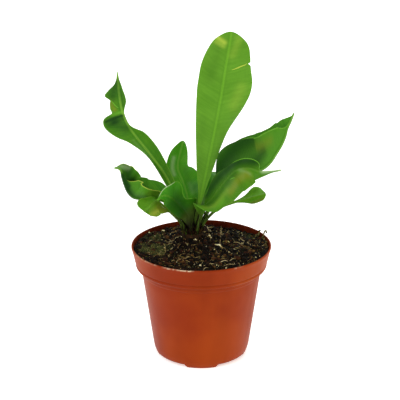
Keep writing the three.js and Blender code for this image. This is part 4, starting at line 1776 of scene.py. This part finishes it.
FRONDS = (
    Frond(
        node="frond_upright",
        slot="young_leaf",
        finish=YOUNG,
        heading=90,
        blunt=0.08,
        wave=(0.5, 3, 0.6),
        path=(
            (-7.85, 20, FOOT_Z, STALK, 0, STALK, 0, 0, 0),
            (-5.45, 22, 111.3, STALK, 10, STALK, 10, 5, 0),
            (-1.05, 24, 131, 1.9, 24, 2, 24, 8, 0),
            (4.95, 27, 159.3, 9.6, 14, 5.4, 18, 10, 0),
            (11.55, 30, 192.5, 16.9, 12, 11, 14, 10, 0),
            (16.75, 33, 220.9, 21.1, 7, 22.2, 6, 8, 0),
            (18.95, 34.6, 235.1, 21.6, 6, 24.6, 6, 7, 0),
            (20.95, 36, 248.2, 20.7, 6, 21.5, 6, 6, 0),
            (23.75, 38, 264, 15.8, 6, 17.3, 6, 4, 0),
            (25.55, 40, 275.9, 8.6, 6, 10.1, 6, 0, 0),
        ),
        # The yellow marks are the frond's own colour; the dark marks paint faint shade.
        marks=(
            Mark(MarkKind.YELLOW, (175.0, 11.0), (171.5, 4.5), 1.9, 0.6),
            Mark(MarkKind.YELLOW, (171.0, 12.0), (168.0, 5.0), 1.6, 0.3),
            Mark(MarkKind.YELLOW, (162.0, -4.0), (176.0, -7.0), 3.2, 0.14),
            Mark(MarkKind.YELLOW, (120.0, -12.0), (136.0, -16.0), 4.5, 0.14),
            Mark(MarkKind.DARK, (60.0, -6.0), (95.0, -9.0), 3.0, 0.18),
            Mark(MarkKind.DARK, (140.0, 11.0), (166.0, 10.0), 6.0, 0.2),
            Mark(MarkKind.DARK, (60.0, 7.0), (104.0, 12.0), 3.5, 0.1),
        ),
        notches=(Notch(-1, 0.81, 2.0, 0.006),),
        ridges=(
            Ridge(MarkKind.YELLOW, ((0.81, -0.92), (0.79, -0.65), (0.765, -0.4), (0.745, -0.2)), 0.62),
        ),
    ),
    Frond(
        node="frond_left_tall",
        slot="grown_leaf",
        finish=FRESH,
        heading=90,
        blunt=0.01,
        wave=(0.2, 4, 0),
        path=(
            (-13.05, 20.9, FOOT_Z, STALK, 0, STALK, 0, 0, 0),
            (-15.05, 22.5, 111.7, STALK, 10, STALK, 0, 5, 0),
            (-21.45, 25.8, 130.7, 2.8, 30, 4.6, -20, 10, 0),
            (-30.45, 25.3, 151.9, 3.9, 26, 5.5, -30, 12, 0),
            (-43.75, 18.8, 174.4, 3.2, 26, 8.6, -24, 14, 0),
            (-55.25, 12.6, 192.1, 8, 30, 7.9, -10, 14, 0),
            (-61.05, 8, 202.7, 14.9, 26, 1.6, 0, 14, 0),
            (-63.85, 5.5, 209.9, 18.6, 16, 1, 0, 16, 0),
            (-65.25, 4, 214.6, 16.6, 10, 1.2, 0, 14, 0),
            (-65.75, 3.5, 216.9, 9.2, 8, 1.8, 0, 10, 0),
            (-66.45, 3, 220.5, 9.4, 6, 3.3, 4, 4, 0),
            (-66.95, 2.4, 224.6, 9, 2, 4.8, 8, 0, 0),
            (-67.25, 2, 227.3, 8.6, 0, 5, 12, 0, 0),
            (-67.65, 1.6, 231.3, 12.4, -4, 4.6, 12, -6, 0),
            (-68.05, 1, 235.7, 8.6, -6, 3.6, 12, -6, 0),
            (-68.35, 0.5, 240.1, 3.8, -4, 2.6, 10, 0, 0),
            (-68.65, 0, 244.9, 1.4, 0, 1.2, 6, 0, 0),
            (-68.85, 0, 250.9, 0.4, 0, 0.4, 0, 0, 0),
        ),
        # The dark marks paint shade on the lobe, along folds and at the tip. The pale one paints a faint
        # sheen and the light one light on a fold's edge. Brown is its own colour.
        marks=(
            Mark(MarkKind.DARK, (118.0, 3.0), (126.0, 9.0), 4.5, 0.6),
            Mark(MarkKind.PAINTED_HIGHLIGHT, (78.0, 2.5), (104.0, 4.0), 1.6, 0.06),
            Mark(MarkKind.DARK, (148.0, 6.0), (160.0, 2.0), 4.5, 0.7),
            Mark(MarkKind.DARK, (140.0, -3.0), (152.0, -2.0), 3.0, 0.35),
            Mark(MarkKind.DARK, (60.0, 3.0), (84.0, 3.0), 2.0, 0.3),
            Mark(MarkKind.LIGHT, (133.4, 1.0), (133.2, 9.0), 1.3, 0.6),
            Mark(MarkKind.BROWN, (137.0, 6.0), (143.0, 8.5), 2.0, 0.4),
            Mark(MarkKind.DARK, (130.4, 1.0), (129.6, 16.0), 1.3, 0.85),
            Mark(MarkKind.DARK, (127.5, 2.0), (126.5, 15.0), 2.4, 0.5),
        ),
        ridges=(
            Ridge(MarkKind.LIGHT, ((0.712, 0.95), (0.66, 0.72), (0.61, 0.45), (0.575, 0.15)), 0.6),
        ),
    ),
    Frond(
        node="frond_back_left",
        slot="grown_leaf",
        finish=LUSH,
        heading=100,
        blunt=0.12,
        wave=(0.9, 4, 1.2),
        path=(
            (-11.35, 24.3, FOOT_Z, STALK, 0, STALK, 0, 0, 0),
            (-11.65, 27, 110.7, STALK, 10, 3.2, 10, 5, 0),
            (-12.25, 31, 131.6, 5, 24, 10.8, 18, 10, 0),
            (-16.45, 36, 144.7, 10, 18, 15.2, 15, 12, 0),
            (-20.65, 40, 155.3, 11.4, 20, 10.1, 12, 12, 0),
            (-19.05, 44, 165, 9.6, 20, 7.5, 12, 10, 0),
            (-15.85, 48, 177.5, 4.6, 14, 4.6, 10, 5, 0),
        ),
        # The pale marks paint sheen on the left half and the dark ones shade on the right; the light ridges
        # are veins.
        marks=(
            Mark(MarkKind.PAINTED_HIGHLIGHT, (56.0, 5.0), (68.0, 5.0), 1.8, 0.45),
            Mark(MarkKind.PAINTED_HIGHLIGHT, (36.0, -5.0), (44.0, -5.0), 1.6, 0.1),
            Mark(MarkKind.DARK, (40.0, -4.0), (56.0, -6.0), 4.5, 0.3),
            Mark(MarkKind.DARK, (30.0, -8.0), (40.0, -10.0), 3.5, 0.4),
        ),
        ridges=(
            Ridge(MarkKind.LIGHT, ((0.347, 0.1), (0.48, 0.16), (0.633, 0.24)), 0.5),
            Ridge(MarkKind.LIGHT, ((0.731, -0.15), (0.8, -0.4), (0.882, -0.75)), 0.48),
        ),
    ),
    Frond(
        node="frond_right_tall",
        slot="grown_leaf",
        finish=GROWN,
        heading=0,
        blunt=0.02,
        wave=(0.5, 4, 2.2),
        path=(
            (-2.45, 21, FOOT_Z, STALK, 0, STALK, 0, 0, 0),
            (1.15, 22.6, 110.7, STALK, 10, STALK, 10, 5, 0),
            (9.95, 25, 128.1, 4, 50, 4, 70, 8, 0),
            (20.55, 27.4, 139.7, 10, 60, 13.2, 76, 10, 0),
            (30.95, 29, 147.7, 22.8, 58, 31, 80, 12, 0),
            (42.55, 30, 153.7, 31.5, 58, 33.2, 82, 12, 0),
            (53.45, 29.5, 157.9, 31.5, 60, 30.6, 82, 12, 14),
            (59.15, 29, 163.1, 28.3, 60, 27, 82, 12, 30),
            (64.55, 29, 171.7, 23.1, 58, 22, 82, 12, 34),
            (69.15, 29.5, 179.7, 18.9, 56, 16.4, 80, 10, 34),
            (72.15, 30, 187.3, 14.8, 54, 10.4, 74, 8, 30),
            (73.55, 31, 192.9, 10.7, 52, 3, 60, 6, 22),
            (76.45, 32, 199.5, 5.6, 48, 1.2, 40, 4, 10),
            (79.15, 33, 206.7, 0.4, 0, 0.4, 0, 0, 0),
        ),
        # The dark marks paint shade over the lower part of the blade; brown is its own colour.
        marks=(
            Mark(MarkKind.DARK, (50.0, -16.0), (80.0, -32.0), 13.0, 0.95),
            Mark(MarkKind.DARK, (82.0, -10.0), (92.0, -14.0), 6.0, 0.7),
            Mark(MarkKind.BROWN, (88.0, -22.0), (104.0, -14.0), 4.0, 0.26),
        ),
        ridges=(
            Ridge(
                MarkKind.LIGHT,
                ((0.4, -1.0), (0.54, -1.0), (0.68, -1.0), (0.8, -1.0), (0.88, -1.0), (0.92, -0.5)),
                0.42,
            ),
        ),
    ),
    Frond(
        node="frond_right_front",
        slot="dark_leaf",
        finish=OLIVE,
        heading=320,
        blunt=0.02,
        wave=(0.6, 4, 0.4),
        path=(
            (-5.15, 15.2, FOOT_Z, STALK, 0, STALK, 0, 0, 0),
            (-3.45, 13, 109.7, STALK, 20, STALK, -10, 5, 0),
            (0.05, 11.5, 121.7, 2.4, 60, 2, 30, 4, 0),
            (2.95, 7.4, 129.3, 5, 66, 10.6, 56, 8, 0),
            (5.95, 3.6, 135.3, 7, 70, 12, 8, 8, 0),
            (8.15, 1.6, 138.9, 8.4, 72, 15, -34, 10, 0),
            (10.55, 0, 142.7, 10, 74, 19, -50, 10, 0),
            (16.35, -4, 152.9, 12, 74, 21.2, -58, 12, 0),
            (22.15, -8, 161.9, 10, 68, 23.2, -64, 14, 0),
            (27.75, -10, 168.5, 9, 60, 21.6, -66, 14, 8),
            (34.75, -12, 171.9, 9, 54, 17, -64, 12, 17),
            (42.05, -12, 171.5, 7.6, 46, 11.6, -56, 10, 28),
            (48.35, -12, 168.9, 1.4, 40, 6, -30, 8, 12),
            (57.35, -11, 168.4, 1.3, 40, 4, 0, 6, 0),
            (66.35, -10, 169.7, 0.4, 0, 0.4, 0, 0, 0),
        ),
        # The dark marks paint shade on the far half and beside the midrib. The pale ones paint a sheen and
        # the rolled tip's highlight, and the light one light on the near half. Yellow and brown are its own
        # colour.
        marks=(
            Mark(MarkKind.DARK, (44.0, 8.0), (96.0, 7.0), 6.5, 0.95),
            Mark(MarkKind.BROWN, (72.0, -12.0), (92.0, -6.0), 4.0, 0.5),
            Mark(MarkKind.LIGHT, (40.0, -12.0), (58.0, -14.0), 4.0, 0.6),
            Mark(MarkKind.YELLOW, (44.0, -10.0), (68.0, -9.0), 2.5, 0.16),
            Mark(MarkKind.PAINTED_HIGHLIGHT, (88.0, -1.0), (95.0, -5.0), 1.6, 0.14),
            Mark(MarkKind.DARK, (54.0, -4.0), (82.0, -3.0), 3.0, 0.45),
            Mark(MarkKind.DARK, (38.0, -6.0), (48.0, -4.0), 4.0, 0.45),
            Mark(MarkKind.PAINTED_HIGHLIGHT, (108.0, 0.0), (122.0, 0.0), 2.0, 0.7),
        ),
        ridges=(
            Ridge(MarkKind.LIGHT, ((0.63, 1.0), (0.7, 1.0), (0.78, 1.0), (0.86, 1.0)), 0.38),
            Ridge(MarkKind.LIGHT, ((0.245, -1.0), (0.29, -1.0), (0.34, -1.0), (0.4, -1.0)), 0.3),
            # A crease on the midrib, painted light as a highlight.
            Ridge(MarkKind.LIGHT, ((0.575, -0.1), (0.6, -0.16), (0.625, -0.24)), 0.52),
        ),
    ),
    Frond(
        node="frond_front_broad",
        slot="dark_leaf",
        finish=DARK,
        heading=180,
        blunt=0.02,
        wave=(0.8, 3, 0.9),
        path=(
            (-7.65, 14.2, FOOT_Z, STALK, 0, STALK, 0, 0, 0),
            (-8.85, 11.6, 110.7, 2.6, -30, 2.6, 30, 0, 0),
            (-12.25, 9, 121.7, 5.5, -60, 9, 62, 4, 0),
            (-15.05, 6, 127.5, 7.6, -64, 15.6, 66, 6, 0),
            (-18.65, 2.6, 133.7, 8.8, -66, 8.2, 68, 6, 0),
            (-21.45, -0.2, 137.9, 9.2, -66, 9.4, 68, 7, 4),
            (-24.65, -3.2, 142.1, 9.2, -66, 15.4, 68, 8, 20),
            (-29.75, -7, 146.1, 6.4, -62, 7, 68, 8, 12),
            (-33.85, -10, 146.1, 3.4, -50, 1.6, 60, 6, 4),
            (-37.15, -12, 143.5, 0.6, -30, 0.6, 40, 4, 0),
        ),
        # The dark marks paint shade over the lower blade.
        marks=(
            Mark(MarkKind.DARK, (18.0, 0.0), (46.0, -3.0), 9.0, 0.6),
            Mark(MarkKind.DARK, (22.0, 7.0), (44.0, 6.0), 9.0, 0.45),
        ),
        ridges=(
            # The pale ridge is a painted highlight on the rolled margin.
            Ridge(MarkKind.PAINTED_HIGHLIGHT, ((0.7, -1.0), (0.8, -1.0), (0.9, -1.0), (0.99, -1.0)), 0.34),
            Ridge(MarkKind.LIGHT, ((0.34, -1.0), (0.46, -1.0), (0.56, -1.0), (0.66, -1.0)), 0.35),
        ),
    ),
    Frond(
        node="frond_left_trough",
        slot="grown_leaf",
        finish=GROWN,
        heading=190,
        blunt=0.02,
        wave=(0.5, 3, 0.2),
        path=(
            (-13.45, 18.1, FOOT_Z, STALK, 0, STALK, 0, 0, 0),
            (-17.85, 17, 114.3, 2, 20, 2, 20, 5, 0),
            (-25.45, 16.8, 128.3, 5, 44, 6, 46, 10, 0),
            (-36.05, 15, 134.9, 10.4, 54, 15.2, 56, 12, 0),
            (-44.95, 12.5, 135.7, 15, 50, 18.8, 54, 14, 0),
            (-51.85, 11, 136.9, 17, 52, 18.6, 66, 15, 0),
            (-58.25, 9.4, 138.9, 18, 68, 18, 72, 15, 9),
            (-62.65, 8, 144.5, 13.5, 84, 18.5, 68, 14, 20),
            (-64.85, 6.5, 150.7, 5, 84, 15.9, 66, 12, 28),
            (-66.85, 5, 158.5, 2, 50, 12.5, 60, 10, 22),
            (-68.05, 3.5, 165.1, 1, 20, 7, 46, 6, 10),
            (-70.75, 3, 167.1, 0.8, 10, 2.6, 30, 4, 0),
            (-73.45, 3, 167.3, 0.4, 0, 0.4, 0, 0, 0),
        ),
        # The dark marks paint shade in the trough and the pale one a sheen near the tip; brown is its own
        # colour.
        marks=(
            Mark(MarkKind.DARK, (74.0, -4.0), (94.0, -8.0), 8.0, 0.9),
            Mark(MarkKind.DARK, (56.0, -7.0), (75.0, -9.0), 4.0, 0.7),
            Mark(MarkKind.DARK, (60.0, 4.0), (78.0, 2.0), 3.0, 0.35),
            Mark(MarkKind.DARK, (80.0, 2.5), (93.0, 1.5), 2.6, 0.8),
            Mark(MarkKind.PAINTED_HIGHLIGHT, (91.0, -10.0), (99.0, -3.0), 2.0, 0.3),
            Mark(MarkKind.BROWN, (44.0, 9.0), (56.0, 12.0), 4.5, 0.16),
        ),
        ridges=(
            Ridge(MarkKind.YELLOW, ((0.23, 1.0), (0.38, 1.0), (0.53, 1.0), (0.69, 1.0)), 0.28),
            Ridge(MarkKind.YELLOW, ((0.57, -1.0), (0.7, -1.0), (0.84, -1.0), (0.985, -1.0)), 0.24),
        ),
    ),
    Frond(
        node="frond_left_low",
        slot="dark_leaf",
        finish=SUNNY,
        heading=215,
        blunt=0.1,
        wave=(0.4, 3, 0),
        path=(
            (-10.85, 16, FOOT_Z, STALK, 0, STALK, 0, 0, 0),
            (-16.85, 12, 114.3, 1.8, 10, 1.8, 10, 5, 0),
            (-26.35, 9, 125.9, 1.8, -50, 1.8, -20, 8, 0),
            (-32.45, 5, 133.1, 8.6, -58, 2.4, -24, 8, 0),
            (-37.25, 1, 138.3, 11.6, -66, 6, 20, 8, 0),
            (-42.45, -5, 136.9, 11.6, -74, 10.5, 28, 8, 0),
            (-46.25, -9.4, 134.9, 7.4, -76, 10, 32, 8, 0),
            (-47.95, -12, 133.7, 3.2, -70, 5, 34, 4, 0),
        ),
        marks=(
            Mark(MarkKind.BROWN, (40.0, 4.0), (60.0, 8.0), 4.5, 0.6),
            Mark(MarkKind.YELLOW, (52.0, 9.5), (66.0, 6.0), 1.6, 0.3),
        ),
        # The pale ridge is a painted highlight; the light one is the midrib, a paler line with painted light
        # on it.
        ridges=(
            Ridge(MarkKind.LIGHT, ((0.6, 0.0), (0.8, 0.0), (0.97, 0.0)), 0.75),
            Ridge(MarkKind.PAINTED_HIGHLIGHT, ((0.34, 0.3), (0.43, 0.2), (0.51, 0.1)), 0.5),
        ),
    ),
    Frond(
        node="frond_spoon",
        slot="grown_leaf",
        finish=BRIGHT,
        heading=0,
        blunt=0.16,
        wave=(0.2, 2, 0),
        path=(
            (-2.85, 17.7, FOOT_Z, STALK, 0, STALK, 0, 0, 0),
            (2.15, 18.5, 112.7, STALK, 5, STALK, 0, 0, 0),
            (14.35, 20, 124.7, 1.2, 5, 1.2, -5, 5, 0),
            (27.65, 18, 131.1, 1.3, 10, 1.5, -20, 8, 0),
            (36.85, 17, 133.9, 4.6, 18, 4, -26, 12, 0),
            (45.35, 16, 136.7, 11.8, 24, 9.4, -18, 16, 0),
            (51.75, 15, 138.7, 10.4, 16, 8.3, -16, 12, 0),
            (55.55, 15, 139.7, 7, 12, 5.6, -16, 6, 0),
        ),
        # The dark marks paint shade; brown is its own colour.
        marks=(
            Mark(MarkKind.BROWN, (60.0, -8.5), (73.0, -6.0), 1.5, 0.7),
            Mark(MarkKind.DARK, (54.0, 6.0), (68.0, 8.0), 3.0, 0.4),
            Mark(MarkKind.DARK, (20.0, 0.0), (44.0, 0.0), 2.0, 0.45),
        ),
    ),
    Frond(
        node="frond_back",
        slot="grown_leaf",
        finish=GROWN,
        heading=96,
        blunt=0.14,
        wave=(0.6, 3, 0.5),
        path=(
            (-8.35, 25.6, FOOT_Z, STALK, 0, STALK, 0, 0, 0),
            (-8.65, 29, 109.7, STALK, 10, STALK, 10, 5, 0),
            (-9.45, 36, 122.7, 3.4, 30, 3.4, 30, 8, 0),
            (-10.65, 44, 132.2, 7.6, 32, 7.6, 32, 10, 0),
            (-12.05, 51, 136.2, 9.4, 28, 9.4, 28, 12, 0),
            (-13.45, 56.4, 134.3, 8.8, 22, 8.8, 22, 10, 0),
            (-14.45, 59.6, 130.3, 6.4, 14, 6.4, 14, 6, 0),
        ),
    ),
    Frond(
        node="frond_back_right",
        slot="grown_leaf",
        finish=GROWN,
        heading=60,
        blunt=0.14,
        wave=(0.6, 3, 1.4),
        path=(
            (-5.05, 24.8, FOOT_Z, STALK, 0, STALK, 0, 0, 0),
            (-3.25, 28, 110.7, STALK, 10, 3.4, 10, 5, 0),
            (1.15, 34, 125.7, 3.4, 30, 4.8, 30, 8, 0),
            (7.15, 41, 136.2, 8, 30, 8, 30, 10, 0),
            (13.95, 47.6, 141.2, 10, 26, 10, 26, 12, 0),
            (20.95, 53, 141.3, 9.4, 20, 9.4, 20, 10, 0),
            (25.95, 56, 138.1, 6.6, 12, 6.6, 12, 6, 0),
        ),
    ),
)


# ------------------------------------------------------------------ studio
@dataclass(frozen=True)
class Lamp:
    """A soft square light.

    Attributes:
        name: its name.
        at: where it hangs, in metres.
        power: its power in watts.
        size: its width in metres.
        tint: the colour of its light.
    """

    name: str
    at: Place
    power: float
    size: float
    tint: Colour = (1.0, 1.0, 1.0)

    def build(self, target: Vector) -> None:
        """Hangs the light so that it faces a point.

        Args:
            target: the point.
        """
        data = bpy.data.lights.new(self.name, "AREA")
        data.energy, data.size, data.color = self.power, self.size, self.tint
        lamp = bpy.data.objects.new(self.name, data)
        lamp.location = self.at
        lamp.rotation_euler = (target - lamp.location).to_track_quat("-Z", "Y").to_euler()
        bpy.context.scene.collection.objects.link(lamp)


@dataclass(frozen=True)
class Studio:
    """Pale floor, soft light and the camera at the photograph's angle."""

    distance: float = 1.1
    elevation: float = 19.75
    lens: float = 116.64
    sensor: float = 36.0
    target: Place = (-0.0011, 0.0, 0.1396)
    sky: float = 0.5
    glow: float = 0.5
    lamps: tuple[Lamp, ...] = (
        Lamp("key", (-0.9, -1.3, 1.3), 17.0, 1.1),
        Lamp("left", (-1.3, 0.2, 0.5), 4.0, 0.6),
        Lamp("right", (1.3, 0.4, 0.5), 2.8, 0.6, (1.0, 0.88, 0.7)),
        Lamp("fill", (1.3, -0.9, 0.7), 9.0, 1.0, (1.0, 0.93, 0.78)),
        Lamp("back", (0.3, 1.2, 1.4), 15.0, 1.0),
    )

    def build(self) -> None:
        """Sets up floor, light and camera."""
        self.floor()
        self.world()
        for lamp in self.lamps:
            lamp.build(Vector(self.target))
        self.camera()

    def floor(self) -> None:
        """A wide pale floor with a faint grain, which glows faintly so that shadows on it stay light."""
        bpy.ops.mesh.primitive_plane_add(size=8)
        floor = bpy.context.object
        floor.name = "floor"
        material, w, shader = Surface(sheen=0.7, gloss=0.1, relief=0.0001).start("floor_paper")
        shade = w.mix(w.noise(6, 3), colour("f8f8f7"), colour("fdfdfc"))
        w.join(shade, shader.inputs["Base Color"])
        w.join(shade, shader.inputs["Emission Color"])
        shader.inputs["Emission Strength"].default_value = self.glow
        floor.data.materials.append(material)

    def world(self) -> None:
        """White surroundings."""
        scene = bpy.context.scene
        scene.world = bpy.data.worlds.new("studio")
        scene.world.use_nodes = True
        sky = scene.world.node_tree.nodes["Background"]
        sky.inputs["Color"].default_value = (1, 1, 1, 1)
        sky.inputs["Strength"].default_value = self.sky
        scene.view_settings.view_transform = "Standard"

    def camera(self) -> None:
        """The camera, as far and as high as in the photograph."""
        angle = math.radians(self.elevation)
        back = Vector((0, -math.cos(angle), math.sin(angle)))
        data = bpy.data.cameras.new("camera")
        data.lens, data.sensor_width = self.lens, self.sensor
        camera = bpy.data.objects.new("camera", data)
        camera.location = Vector(self.target) + back * self.distance
        camera.rotation_euler = (-back).to_track_quat("-Z", "Y").to_euler()
        bpy.context.scene.collection.objects.link(camera)
        bpy.context.scene.camera = camera


def main() -> None:
    """Builds the plant, piece by piece, and then the studio."""
    logging.basicConfig(level=logging.INFO, format="%(message)s")
    effects = Effects(leaf_lines(), mottle())
    pot = Pot()
    pot.build(effects)
    Soil().build(pot, effects)
    Crown().build(FRONDS, effects)
    for frond in FRONDS:
        frond.build(effects)
    Studio().build()


if __name__ == "__main__":
    main()
